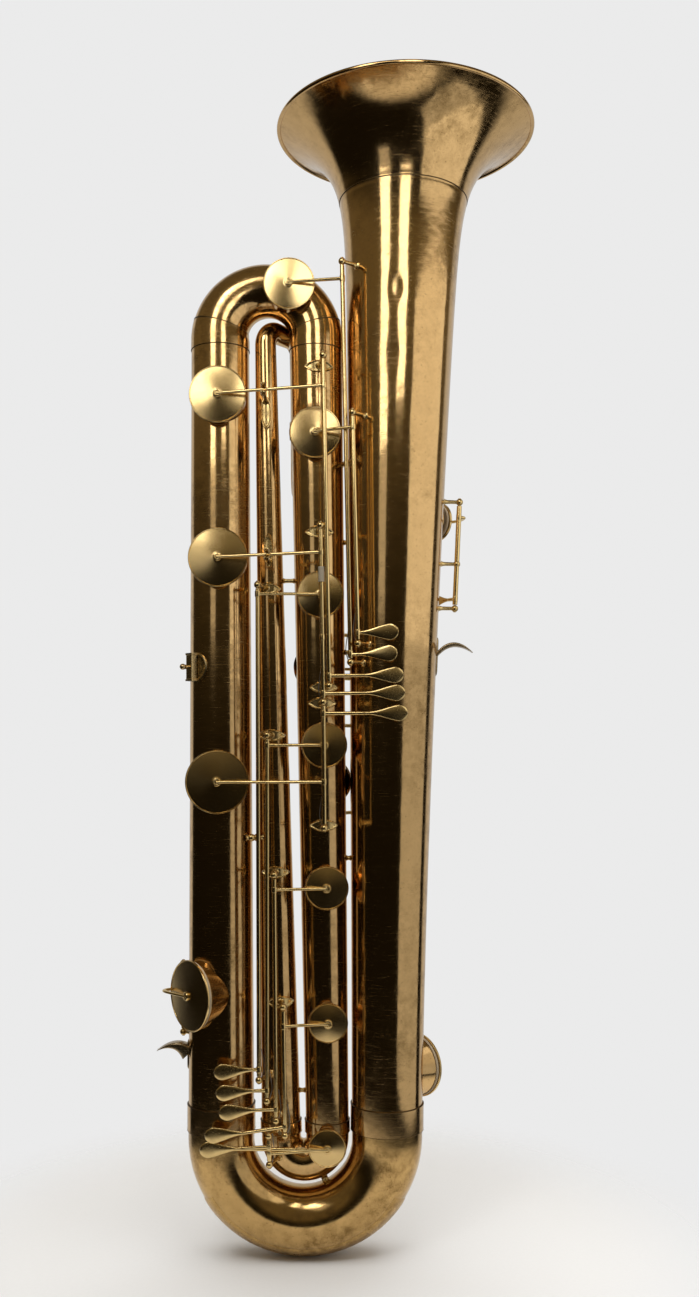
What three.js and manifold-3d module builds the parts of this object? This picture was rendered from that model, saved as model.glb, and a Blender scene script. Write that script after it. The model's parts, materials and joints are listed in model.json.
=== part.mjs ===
// A brass reed contrabass: a folded conical tube with a bell, closed and opened by fifteen long keys.
// Millimetres. +Z is up, X runs to the viewer's right, and the front keys face -Y.
// X = 0 is the middle of the big bottom bow, Y = 0 the plane of the main tubes, Z = 0 the lowest point.
import * as THREE from 'three';
import { mergeVertices } from 'three/addons/utils/BufferGeometryUtils.js';
import Module from 'manifold-3d';

const wasm = await Module();
wasm.setup();

// Sheet, clearance and mesh
const gap = 0.3;
const wall = 1;
const mergeTolerance = 0.0001;
const overrun = 6;
const wideSides = 24;
const tubeSides = 20;
const narrowSides = 12;
const discSides = 16;
const chimneySides = 12;
const rodSides = 6;
const armSides = 5;
const ballRings = 4;

// Body plan. The spaces are the clear widths between neighbouring tubes, at their feet and at their tops
const straightRun = 903;
const bellRise = 236.425;
const leftNarrowFootSpace = 8.5;
const narrowMiddleFootSpace = 5.7;
const middleBellFootSpace = 3.3;
const leftNarrowTopSpace = 6.7;
const narrowMiddleTopSpace = 15.1;
const middleBellTopSpace = 5.277;
const leftLean = 1.2;

// Outer radii of the bore, from the bell back to the crook
const bellFootRadius = 40;
const bellTaper = 28.5;
const bellFlare = 75;
const bellFlareReach = 34.5;
const bellCurvePower = 1.5;
const rimBeadRadius = 2.3;
const leftFootRadius = 37.3;
const leftTopRadius = 32.6;
const middleTopRadius = 30;
const topBowPinch = 2.3;
const middleFootRadius = 24.3;
const narrowFootRadius = 22.3;
const narrowTopRadius = 11.9;
const backTopRadius = 11.3;
const backFootRadius = 10.6;

// Sleeves that cover the joints, and the guard round the big bow
const ferruleLength = 29;
const ferruleSheet = 1.2;
const lowerJointRise = 24;
const socketDepth = 12;
const socketRise = 20;
const guardSheet = 1;
const bowRings = 12;
const guardSkippedRings = 2;
const guardSideSteps = 3;

// Chimneys, cups and pads
const chimneyHeight = 4.5;
const chimneyInset = 3;
const padThickness = 3.2;
const padInset = 1.5;
const cupRim = 2.2;
const cupRise = 3.4;
const bossRadius = 4.2;
const bossHeight = 1.8;

// Rods, arms, posts and touches
const rodRadius = 2.2;
const collarRadius = 3.1;
const collarLength = 10;
const armRadius = 2;
const armTipRadius = 1.6;
const ballRadius = 4;
const postWaist = 2.1;
const postFoot = 4.4;
const postFlareShare = 0.3;
const ballNeckShare = 0.85;
const ballCrownShare = 0.7;
const saddleWidth = 34;
const saddleHeight = 13;
const saddleSheet = 1.1;
const touchLength = 37;
const touchHalfWidth = 8.8;
const neckHalfWidth = 1.8;
const touchSheet = 2.4;
const thumbTouchLength = 25;
const thumbTouchHalfWidth = 7.5;

// Crook receiver behind the middle tube
const topBendSpan = 59;
const topBendRadius = 18;
const topBendHeading = THREE.MathUtils.degToRad(51);
const topBendStartShare = 0.995;
const backTubeLength = 135;
const receiverBowSpan = 37;
const receiverLength = 70;
const receiverRadius = 11.4;
const crookBoreRadius = 8.6;
const receiverCollarRadius = 14;
const receiverCollarLength = 22;
const screwBossRadius = 4.6;
const screwBossLength = 6;
const screwRadius = 2.2;
const screwHeadWidth = 16;
const screwHeadHeight = 10;
const screwHeadSheet = 3;

// Lyre socket on the left tube
const lyreFacing = THREE.MathUtils.degToRad(-47);
const lyreShare = 0.588;
const lyrePlateRadius = 17;
const lyrePlateSheet = 1.2;
const lyreBoxWidth = 12;
const lyreBoxDepth = 11;
const lyreBoxHeight = 31;
const lyreSlotWidth = 8.4;
const lyreSlotDepth = 6.8;
const lyreScrewRadius = 1.8;
const lyreScrewNeck = 7;
const lyreScrewBall = 3.4;

// Thumb rests: crescents cut from thick plate on a soldered foot
const thumbRestWidth = 16;
const thumbRestFootWidth = 14;
const thumbRestFootSheet = 1.6;
const rightRestShare = 0.603;
const rightRestReach = 41;
const rightRestRoot = 4;
const rightRestRootDrop = 0.4;
const rightRestCrown = 28.8;
const rightRestTip = 4.7;
const rightRestThickness = 9.3;
const rightRestFootHeight = 44;
const leftRestShare = 0.104;
const leftRestReach = 36;
const leftRestRoot = 20.3;
const leftRestRootDrop = 9.3;
const leftRestCrown = 20.6;
const leftRestTip = 3.8;
const leftRestThickness = 6.9;
const leftRestFootHeight = 34;
const restCrownShare = 0.42;

// Stays between the tubes
const stayRadius = 2.6;
const stayBallRadius = 4.6;
const bowStayRadius = 4;
const bowStayTurn = THREE.MathUtils.degToRad(-64);
const backStayDrop = 108;

// Forked guides on the narrow tube, and the stand-off of the side and back chimneys
const guideSlotClearance = 1.3;
const guideProngSheet = 2;
const guideForkWidth = 6.5;
const guideForkBack = 5;
const guideForkFront = 9;
const guidePlateLength = 38;
const guidePlateWidth = 10;
const bellRimStandOff = 5;
const longFunnelLength = 60;
const funnelLength = 30;

// Materials
const tubeBrass = new THREE.MeshStandardMaterial({ color: 0x8f6d34, roughness: 0.28, metalness: 1 });
const keyBrass = new THREE.MeshStandardMaterial({ color: 0xb79a62, roughness: 0.34, metalness: 1 });
const fittingBrass = new THREE.MeshStandardMaterial({ color: 0x9c7b40, roughness: 0.3, metalness: 1 });
const padLeather = new THREE.MeshStandardMaterial({ color: 0xb9a88a, roughness: 0.85, metalness: 0 });

const xAxis = new THREE.Vector3(1, 0, 0);
const yAxis = new THREE.Vector3(0, 1, 0);
const zAxis = new THREE.Vector3(0, 0, 1);
const quarterTurn = Math.PI / 2;

// Heights and tube axes that follow from the body plan
const leftNarrowSpan = leftFootRadius + leftNarrowFootSpace + narrowFootRadius;
const smallBowSpan = narrowFootRadius + narrowMiddleFootSpace + middleFootRadius;
const middleBellSpan = middleFootRadius + middleBellFootSpace + bellFootRadius;
const bowSpan = leftNarrowSpan + smallBowSpan + middleBellSpan;
const leftNarrowTopSpan = leftTopRadius + leftNarrowTopSpace + narrowTopRadius;
const topBowSpan = leftNarrowTopSpan + narrowTopRadius + narrowMiddleTopSpace + middleTopRadius;
const bowMidRadius = bowRadiusAt(1 / 2);
const springLow = guardSheet + gap + bowMidRadius + bowSpan / 2;
const springHigh = springLow + straightRun;
const lowerJoint = springLow + lowerJointRise;
const smallJoint = springLow + socketRise - socketDepth;
const topBendStart = springLow + straightRun * topBendStartShare;
const rimHeight = springHigh + bellRise;
const overallHeight = rimHeight + rimBeadRadius;
const bellHeight = rimHeight - springLow;
const leftFootX = -bowSpan / 2;
const bellFootX = bowSpan / 2;
const leftTopX = leftFootX - leftLean;
const narrowFootX = leftFootX + leftNarrowSpan;
const narrowTopX = leftTopX + leftNarrowTopSpan;
const middleFootX = narrowFootX + smallBowSpan;
const middleTopX = leftTopX + topBowSpan;

function runShare(z) {
  return (z - springLow) / straightRun;
}

function bellCurve(z) {
  return Math.max(0, (z - springLow) / bellHeight) ** bellCurvePower;
}

function bowRadiusAt(share) {
  return leftFootRadius + (bellFootRadius - leftFootRadius) * share * share;
}

function bellRadiusAt(z) {
  return bellFootRadius + bellTaper * bellCurve(z) + bellFlare * Math.exp((z - rimHeight) / bellFlareReach);
}

// The bell leans away just enough to pass the top of the middle tube
const bellTopX = middleTopX + middleTopRadius + middleBellTopSpace + bellRadiusAt(springHigh);
const bellLean = (bellTopX - bellFootX) / bellCurve(springHigh);

const bellTube = {
  axisX: (z) => bellFootX + bellLean * bellCurve(z),
  radius: bellRadiusAt,
};
const leftTube = {
  axisX: (z) => leftFootX - leftLean * runShare(z),
  radius: (z) => leftFootRadius + (leftTopRadius - leftFootRadius) * runShare(z),
};
const middleTube = {
  axisX: (z) => middleFootX + (middleTopX - middleFootX) * runShare(z),
  radius: (z) => middleFootRadius + (middleTopRadius - middleFootRadius) * runShare(z),
};
const narrowTube = {
  axisX: (z) => narrowFootX + (narrowTopX - narrowFootX) * (runShare(z) / topBendStartShare),
  radius: (z) => narrowFootRadius + (narrowTopRadius - narrowFootRadius) * (runShare(z) / topBendStartShare),
};
const smallBowLeg = {
  axisX: (z) => {
    const drop = Math.max(0, springLow - z);
    const bend = smallBowSpan / 2;
    return narrowFootX + bend - Math.sqrt(bend * bend - drop * drop);
  },
  radius: () => narrowFootRadius,
};

function heightAt(share) {
  return springLow + straightRun * share;
}

// The bell's skin has its rings closest where the flare opens
const bellLow = lowerJoint + gap;
const bellRingShares = [0, 0.16, 0.34, 0.52, 0.68, 0.79, 0.87, 0.915, 0.945, 0.968, 0.985, 1];
function bellStations(lowZ, highZ, grow) {
  return bellRingShares.map((share) => {
    const z = lowZ + (highZ - lowZ) * share;
    const centre = new THREE.Vector3(bellTube.axisX(z), 0, z);
    return { centre, across: xAxis, depth: yAxis, radius: bellTube.radius(z) + grow * bellSlant(z) };
  });
}

// How much longer a level measure through the bell's wall is than one square to it
function bellSlant(z) {
  const step = gap;
  const slope = (bellTube.radius(z + step) - bellTube.radius(z - step)) / (2 * step);
  return Math.sqrt(1 + slope * slope);
}

// A closed three.js geometry as a solid that can be joined and cut
function solid(geometry) {
  const bare = geometry.clone();
  bare.deleteAttribute('normal');
  bare.deleteAttribute('uv');
  const merged = mergeVertices(bare, mergeTolerance);
  const points = merged.attributes.position.array;
  const corners = merged.index.array;
  const kept = [];
  let volume = 0;
  for (let i = 0; i < corners.length; i += 3) {
    const [a, b, c] = [corners[i], corners[i + 1], corners[i + 2]];
    if (a === b || b === c || c === a) continue;
    kept.push([a, b, c]);
    const [pa, pb, pc] = [a, b, c].map((k) => new THREE.Vector3().fromArray(points, k * 3));
    volume += pa.dot(pb.cross(pc));
  }
  const triVerts = new Uint32Array(kept.flatMap(([a, b, c]) => (volume < 0 ? [a, c, b] : [a, b, c])));
  return new wasm.Manifold(new wasm.Mesh({ numProp: 3, vertProperties: new Float32Array(points), triVerts }));
}

function moved(piece, matrix) {
  return piece.transform(matrix.elements);
}

function join(pieces) {
  return pieces.reduce((whole, piece) => whole.add(piece));
}

function toGeometry(piece) {
  const { vertProperties, triVerts } = piece.getMesh();
  const geometry = new THREE.BufferGeometry();
  geometry.setAttribute('position', new THREE.BufferAttribute(vertProperties, 3));
  geometry.setIndex(new THREE.BufferAttribute(triVerts, 1));
  const faceted = geometry.toNonIndexed();
  faceted.computeVertexNormals();
  return faceted;
}

// Rings of points joined into a closed skin. Each station has a centre, two directions and a radius
function sweep(stations, sides) {
  const points = [];
  for (const { centre, across, depth, radius } of stations) {
    for (let k = 0; k < sides; k++) {
      const angle = (2 * Math.PI * k) / sides;
      const point = centre.clone();
      point.addScaledVector(across, radius * Math.cos(angle));
      point.addScaledVector(depth, radius * Math.sin(angle));
      points.push(point);
    }
  }
  const faces = [];
  for (let ring = 0; ring + 1 < stations.length; ring++) {
    for (let k = 0; k < sides; k++) {
      const next = (k + 1) % sides;
      const [a, b] = [ring * sides + k, ring * sides + next];
      faces.push([a, b, b + sides], [a, b + sides, a + sides]);
    }
  }
  const lastRing = (stations.length - 1) * sides;
  const [firstCentre, lastCentre] = [points.length, points.length + 1];
  points.push(stations[0].centre.clone(), stations.at(-1).centre.clone());
  for (let k = 0; k < sides; k++) {
    const next = (k + 1) % sides;
    faces.push([firstCentre, next, k], [lastCentre, lastRing + k, lastRing + next]);
  }
  const geometry = new THREE.BufferGeometry().setFromPoints(points);
  geometry.setIndex(faces.flat());
  return solid(geometry);
}

function steps(count) {
  return Array.from({ length: count + 1 }, (_, i) => i / count);
}

function straightStations(tube, fromZ, toZ, count, grow = 0, across = xAxis) {
  return steps(count).map((share) => {
    const z = fromZ + (toZ - fromZ) * share;
    return { centre: new THREE.Vector3(tube.axisX(z), 0, z), across, depth: yAxis,
    radius: tube.radius(z) + grow };
  });
}

// Part of a turn in an upright plane. Angles run from the plane's heading towards +Z
const noLift = () => 0;
function bendStations({ middle, bend, heading = 0, from, to, count, radiusAt, liftAt = noLift, grow = 0 }) {
  const level = new THREE.Vector3(Math.cos(heading), Math.sin(heading), 0);
  const depth = new THREE.Vector3(-Math.sin(heading), Math.cos(heading), 0);
  return steps(count).map((share) => {
    const angle = from + (to - from) * share;
    const across = level.clone().multiplyScalar(Math.cos(angle)).addScaledVector(zAxis, Math.sin(angle));
    const centre = middle.clone().addScaledVector(across, bend + liftAt(share));
    return { centre, across, depth, radius: radiusAt(share) + grow };
  });
}

function straightSolid(tube, fromZ, toZ, count, grow, sides) {
  return sweep(straightStations(tube, fromZ, toZ, count, grow), sides);
}

function extendEnds(stations, length, firstDirection, lastDirection) {
  if (!length) return stations;
  const first = { ...stations[0], centre: stations[0].centre.clone().addScaledVector(firstDirection,
  length) };
  const last = { ...stations.at(-1), centre: stations.at(-1).centre.clone().addScaledVector(lastDirection,
  length) };
  return [first, ...stations, last];
}

function lathe(profile, sides) {
  return solid(new THREE.LatheGeometry(profile.map(([r, y]) => new THREE.Vector2(r, y)), sides));
}

// A turned piece set with its foot at one point and its length towards a direction
function aim(piece, foot, direction) {
  const turn = new THREE.Quaternion().setFromUnitVectors(yAxis, direction.clone().normalize());
  return moved(piece, new THREE.Matrix4().compose(foot, turn, new THREE.Vector3(1, 1, 1)));
}

function bar(from, to, fromRadius, toRadius, sides) {
  const length = from.distanceTo(to);
  const profile = [[0, 0], [fromRadius, 0], [toRadius, length], [0, length]];
  return aim(lathe(profile, sides), from, to.clone().sub(from));
}

// The bore that a faceted pin of this radius turns in
function clearBoreRadius(pinRadius) {
  return (pinRadius + gap) / Math.cos(Math.PI / rodSides);
}

function ball(centre, radius) {
  return moved(solid(new THREE.SphereGeometry(radius, rodSides, ballRings)),
  new THREE.Matrix4().setPosition(centre));
}

function box(width, depth, height, centre) {
  return moved(solid(new THREE.BoxGeometry(width, depth, height)), new THREE.Matrix4().setPosition(centre));
}

// An outline drawn in X and Z, with its thickness centred on Y = 0
function plate(shape, thickness, curveSegments) {
  const settings = { depth: thickness, bevelEnabled: false, curveSegments };
  const upright = new THREE.Matrix4().makeRotationX(quarterTurn);
  const centred = new THREE.Matrix4().makeTranslation(0, thickness / 2, 0);
  return moved(moved(solid(new THREE.ExtrudeGeometry(shape, settings)), upright), centred);
}

function fromFrame(facing, origin) {
  return new THREE.Matrix4().makeRotationZ(facing).setPosition(origin);
}

const root = new THREE.Group();

function addPart(name, piece, material, parent = root) {
  const mesh = new THREE.Mesh(toGeometry(piece), material);
  mesh.name = name;
  parent.add(mesh);
  return mesh;
}

// Fittings that are soldered to a tube are joined to its outer skin before the bore is cut
const fittings = { bell: [], bow: [], left: [], topBow: [], middle: [], smallBow: [], narrow: [] };
const bores = { bell: [], bow: [], left: [], topBow: [], middle: [], smallBow: [], narrow: [] };

// A turned post from the tube's skin to a ball that carries the end of a rod
function addPost(owner, tube, top, withSaddle = false) {
  const axis = new THREE.Vector3(tube.axisX(top.z), 0, top.z);
  const outward = top.clone().sub(axis);
  const skin = tube.radius(top.z);
  const length = outward.length() - skin;
  const profile = [
    [0, -wall],
    [postFoot, -wall],
    [postWaist, length * postFlareShare],
    [postWaist, length - ballRadius * ballNeckShare],
    [ballRadius, length],
    [ballRadius * ballCrownShare, length + ballRadius * ballCrownShare],
    [0, length + ballRadius],
  ];
  const foot = axis.clone().addScaledVector(outward.clone().normalize(), skin);
  fittings[owner].push(aim(lathe(profile, rodSides), foot, outward));
  if (withSaddle) fittings[owner].push(saddle(tube, axis, outward.normalize()));
}

// The pointed oval foot plate of a post, bent round its tube
function saddle(tube, axis, outward) {
  const shape = new THREE.Shape();
  shape.moveTo(-saddleWidth / 2, 0);
  shape.quadraticCurveTo(0, saddleHeight, saddleWidth / 2, 0);
  shape.quadraticCurveTo(0, -saddleHeight, -saddleWidth / 2, 0);
  const reach = tube.radius(axis.z) + overrun;
  const settings = { depth: reach, bevelEnabled: false, curveSegments: 3 };
  const tangent = new THREE.Vector3().crossVectors(zAxis, outward);
  const matrix = new THREE.Matrix4().makeBasis(tangent, zAxis, outward).setPosition(axis);
  const prism = moved(solid(new THREE.ExtrudeGeometry(shape, settings)), matrix);
  return prism.intersect(grownPiece(tube, axis.z, saddleHeight, saddleSheet));
}

// A stretch of a tube's outer skin, grown by a clearance. The bell keeps the rings of its own skin
function grownPiece(tube, z, halfLength, grow) {
  if (tube === bellTube) return sweep(bellStations(bellLow, rimHeight, grow), wideSides);
  return straightSolid(tube, z - halfLength, z + halfLength, 1, grow, tubeSides);
}

// A straight chimney that stands on the tube's front or back, under a flat cup
function addChimney(owner, seat, facing, cupRadius) {
  const radius = cupRadius - chimneyInset;
  const outward = new THREE.Vector3(Math.sin(facing), -Math.cos(facing), 0);
  const centre = new THREE.Vector3(seat.x, 0, seat.z);
  const rim = centre.clone().addScaledVector(outward, seat.depth);
  const beyond = rim.clone().addScaledVector(outward, overrun);
  fittings[owner].push(bar(centre, rim, radius, radius, chimneySides));
  bores[owner].push(bar(centre, beyond, radius - wall, radius - wall, chimneySides));
}

// A chimney that widens from the tube to a big cup, along any level line
function addFunnel(owner, rim, outward, rimRadius, taper, length) {
  const back = rim.clone().addScaledVector(outward, -length);
  const beyond = rim.clone().addScaledVector(outward, overrun);
  const backRadius = rimRadius - taper * length;
  const boreRadius = backRadius - wall;
  fittings[owner].push(bar(back, rim, backRadius, rimRadius, discSides));
  bores[owner].push(bar(back, beyond, boreRadius, boreRadius + taper * (length + overrun), discSides));
}

// Where a cup sits: its place on the tube, and how far the chimney's rim stands from the tube's axis
function seatOn(tube, { cupShare, cupOffsetShare, cupSizeShare }) {
  const z = heightAt(cupShare);
  const skin = tube.radius(z);
  return {
    x: tube.axisX(z) + skin * cupOffsetShare, z, depth: skin + chimneyHeight, cupRadius: skin * cupSizeShare,
  };
}

function cupSolid(radius) {
  const top = cupRim + cupRise;
  return lathe(
    [
      [0, 0],
      [radius, 0],
      [radius, cupRim],
      [bossRadius, top],
      [0, top + bossHeight],
    ],
    discSides,
  );
}

// The outline of a touch: a slim neck, then a spoon that is widest past its middle
const [spoonNeckShare, spoonSwellShare, spoonWidestShare, spoonEndShare] = [0.35, 0.42, 0.7, 0.88];
function spoonSolid(length, halfWidth, side) {
  const shape = new THREE.Shape();
  const reach = side * length;
  const [neck, swell, widest, end] = [
    reach * spoonNeckShare, reach * spoonSwellShare, reach * spoonWidestShare, reach * spoonEndShare,
  ];
  shape.moveTo(0, neckHalfWidth);
  shape.bezierCurveTo(neck, neckHalfWidth, swell, halfWidth, widest, halfWidth);
  shape.bezierCurveTo(end, halfWidth, reach, halfWidth / 2, reach, 0);
  shape.bezierCurveTo(reach, -halfWidth / 2, end, -halfWidth, widest, -halfWidth);
  shape.bezierCurveTo(swell, -halfWidth, neck, -neckHalfWidth, 0, -neckHalfWidth);
  return plate(shape, touchSheet, 3);
}

// A rod bent through points that lie in one level plane
function bentArm(points, fromRadius, toRadius) {
  const curve = new THREE.CatmullRomCurve3(points);
  const stations = steps(points.length * 2).map((share) => {
    const tangent = curve.getTangentAt(share);
    const across = new THREE.Vector3().crossVectors(zAxis, tangent).normalize();
    const radius = fromRadius + (toRadius - fromRadius) * share;
    return { centre: curve.getPointAt(share), across, depth: zAxis, radius };
  });
  return sweep(stations, armSides);
}

// One key: hinge rod, arm, cup and touch soldered into one piece, with a pad under the cup.
// Its own frame has the rod on Z, the cup facing -Y and +Y towards the tube
function addKey({ name, foot, top, facing = 0, opened = 0, cup, cupRadius, armPoints, touch, collars = [] }) {
  const frame = new THREE.Group();
  const lean = Math.atan2(top.x - foot.x, top.z - foot.z);
  frame.position.copy(foot);
  frame.rotation.set(0, lean, facing + opened, 'XYZ');
  root.add(frame);

  const length = foot.distanceTo(top);
  const end = ballRadius + gap;
  const rodFoot = new THREE.Vector3(0, 0, end);
  const rodTop = new THREE.Vector3(0, 0, length - end);
  const pieces = [bar(rodFoot, rodTop, rodRadius, rodRadius, rodSides)];

  const towardsFront = new THREE.Vector3(0, -1, 0);
  const cupBase = cup.clone();
  pieces.push(aim(cupSolid(cupRadius), cupBase, towardsFront));
  const armEnd = cup.clone().addScaledVector(towardsFront, cupRim + cupRise + bossHeight / 2);
  if (armPoints) {
    pieces.push(bentArm([...armPoints, armEnd], armRadius, armTipRadius));
  } else {
    pieces.push(bar(new THREE.Vector3(0, 0, cup.z), armEnd, armRadius, armTipRadius, armSides));
  }

  const neck = new THREE.Vector3(touch.reach - Math.sign(touch.reach) * touch.length, touch.y, touch.z);
  const touchRoot = new THREE.Vector3(0, 0, touch.rootZ ?? touch.z);
  const spoon = spoonSolid(touch.length + armRadius, touch.halfWidth, Math.sign(touch.reach));
  const neckStart = neck.clone().sub(new THREE.Vector3(Math.sign(touch.reach) * armRadius, 0, 0));
  pieces.push(moved(spoon, new THREE.Matrix4().setPosition(neckStart)));
  pieces.push(bar(touchRoot, neck, armRadius, armTipRadius, armSides));

  for (const z of [cup.z, touchRoot.z, ...collars]) {
    const low = THREE.MathUtils.clamp(z - collarLength / 2, end, length - end - collarLength);
    const from = new THREE.Vector3(0, 0, low);
    pieces.push(bar(from, new THREE.Vector3(0, 0, low + collarLength), collarRadius, collarRadius, rodSides));
  }
  addPart(`key_${name}`, join(pieces), keyBrass, frame);

  const padRadius = cupRadius - padInset;
  const padFace = cup.clone().addScaledVector(towardsFront, -gap);
  const padBack = padFace.clone().addScaledVector(towardsFront, -padThickness);
  addPart(`pad_${name}`, bar(padBack, padFace, padRadius, padRadius, chimneySides), padLeather, frame);
}

// Front keys. Heights are shares of the straight tubes' length, counted from the big bow's spring line.
// Rod ends are offset sideways from the tube that carries their posts, and stand off by a depth
const deepRodDepth = 68;
const bellRodDepth = 50;
const bellOuterRodDepth = 58;
const leftHandRodDepth = 46;
const rightTouchDepth = 62;
const leftTouchDepth = 51;
const topBowCupShare = 0.645;
const topBowSeatLift = 1.9;

const frontKeys = [
  {
    name: 'top_bow', owner: 'topBow', cupSizeShare: 0.9878, carrier: bellTube, carrierOwner: 'bell',
    rodTopShare: 1.0785, rodTopOffsetShare: -1.0612, rodFootShare: 0.5925, rodFootOffsetShare: -0.9762,
    rodDepth: bellRodDepth,
    touchShare: 0.602, touchReachShare: 1.4054, touchDepth: rightTouchDepth,
  },
  {
    name: 'left_upper', owner: 'left', tube: leftTube, cupSizeShare: 0.955, cupShare: 0.9222,
    cupOffsetShare: 0.0364,
    carrier: middleTube, carrierOwner: 'middle', saddles: true,
    rodTopShare: 0.9585, rodTopOffsetShare: 0.3125, rodFootShare: 0.563, rodFootOffsetShare: 0.389,
    rodDepth: deepRodDepth,
    touchShare: 0.5752, touchReachShare: 2.2162, touchDepth: rightTouchDepth, guideSide: -1,
  },
  {
    name: 'left_middle', owner: 'left', tube: leftTube, cupSizeShare: 0.965, cupShare: 0.7228,
    cupOffsetShare: 0.0354,
    carrier: middleTube, carrierOwner: 'middle', saddles: true, sharedFoot: true,
    rodTopShare: 0.7549, rodTopOffsetShare: 0.1329, rodFootShare: 0.5435, rodFootOffsetShare: 0.1496,
    rodDepth: deepRodDepth,
    touchShare: 0.5539, touchReachShare: 2.4324, touchDepth: rightTouchDepth, collarShares: [0.695],
    guideSide: 1,
  },
  {
    name: 'left_lower', owner: 'left', tube: leftTube, cupSizeShare: 0.995, cupShare: 0.448,
    cupOffsetShare: 0.0057,
    carrier: middleTube, carrierOwner: 'middle', saddles: true,
    rodTopShare: 0.5435, rodTopOffsetShare: 0.1496, rodFootShare: 0.3927, rodFootOffsetShare: 0.1168,
    rodDepth: deepRodDepth,
    touchShare: 0.5303, touchReachShare: 2.5, touchDepth: rightTouchDepth,
  },
  {
    name: 'middle_1', owner: 'middle', tube: middleTube, cupSizeShare: 0.9764, cupShare: 0.8755,
    cupOffsetShare: -0.041,
    carrier: bellTube, carrierOwner: 'bell',
    rodTopShare: 0.893, rodTopOffsetShare: -0.9039, rodFootShare: 0.6145, rodFootOffsetShare: -0.8131,
    rodDepth: bellOuterRodDepth,
    touchShare: 0.6278, touchReachShare: 1.227, touchDepth: rightTouchDepth, collarShares: [0.8633],
  },
  {
    name: 'middle_2', owner: 'middle', tube: middleTube, cupSizeShare: 0.92, cupShare: 0.676,
    cupOffsetShare: 0.0568,
    carrier: narrowTube, carrierOwner: 'narrow', saddles: true,
    rodTopShare: 0.6869, rodTopOffsetShare: -0.7341, rodFootShare: 0.0846, rodFootOffsetShare: -0.958,
    rodDepth: leftHandRodDepth,
    touchShare: 0.097, touchReachShare: -1.3486, touchDepth: leftTouchDepth,
  },
  {
    name: 'middle_3', owner: 'middle', tube: middleTube, cupSizeShare: 0.9334, cupShare: 0.4919,
    cupOffsetShare: 0.1365,
    carrier: narrowTube, carrierOwner: 'narrow', saddles: true,
    rodTopShare: 0.5041, rodTopOffsetShare: -0.2303, rodFootShare: 0.059, rodFootOffsetShare: -0.5629,
    rodDepth: leftHandRodDepth,
    touchShare: 0.0715, touchReachShare: -1.5297, touchDepth: leftTouchDepth,
  },
  {
    name: 'middle_4', owner: 'middle', tube: middleTube, cupSizeShare: 0.9271, cupShare: 0.3161,
    cupOffsetShare: 0.1532,
    carrier: narrowTube, carrierOwner: 'narrow', saddles: true,
    rodTopShare: 0.3339, rodTopOffsetShare: 0.032, rodFootShare: 0.0351, rodFootOffsetShare: -0.1231,
    rodDepth: leftHandRodDepth,
    touchShare: 0.0485, touchReachShare: -1.7054, touchDepth: leftTouchDepth,
  },
  {
    name: 'middle_5', owner: 'middle', tube: middleTube, cupSizeShare: 0.8746, cupShare: 0.1501,
    cupOffsetShare: 0.1312,
    carrier: narrowTube, carrierOwner: 'narrow', footCarrier: smallBowLeg, footOwner: 'smallBow',
    saddles: true,
    rodTopShare: 0.1733, rodTopOffsetShare: 0.3667, rodFootShare: 0.0171, rodFootOffsetShare: 0.2915,
    rodDepth: leftHandRodDepth,
    touchShare: 0.0216, touchRootShare: 0.0274, touchReachShare: -2.3892, touchDepth: leftTouchDepth,
  },
  {
    name: 'small_bow', owner: 'smallBow', tube: middleTube, cupSizeShare: 0.8693, cupShare: -0.0049,
    cupOffsetShare: 0.0124,
    carrier: smallBowLeg, carrierOwner: 'smallBow',
    rodTopShare: 0.0165, rodTopOffsetShare: -0.5112, rodFootShare: -0.0184, rodFootOffsetShare: -0.7399,
    rodDepth: leftHandRodDepth,
    touchShare: -0.0014, touchReachShare: -2.0865, touchDepth: leftTouchDepth,
  },
];

const topBowMiddle = new THREE.Vector3((leftTopX + middleTopX) / 2, 0, springHigh);

// The top bow was pulled a little thinner over its crown, where the outer edge kept its place
function topBowPinchAt(share) {
  return topBowPinch * Math.sin(Math.PI * share);
}

function topBowRadiusAt(share) {
  return leftTopRadius + (middleTopRadius - leftTopRadius) * share - topBowPinchAt(share);
}

function rodEnd(carrier, share, offsetShare, depth) {
  const z = heightAt(share);
  return new THREE.Vector3(carrier.axisX(z) + carrier.radius(z) * offsetShare, -depth, z);
}

function topBowSeat({ cupSizeShare }) {
  const angle = Math.PI * (1 - topBowCupShare);
  const bend = topBowSpan / 2 + topBowPinchAt(topBowCupShare) + topBowSeatLift;
  const skin = topBowRadiusAt(topBowCupShare);
  const [x, z] = [topBowMiddle.x + bend * Math.cos(angle), springHigh + bend * Math.sin(angle)];
  return { x, z, depth: skin + chimneyHeight, cupRadius: skin * cupSizeShare };
}

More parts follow.
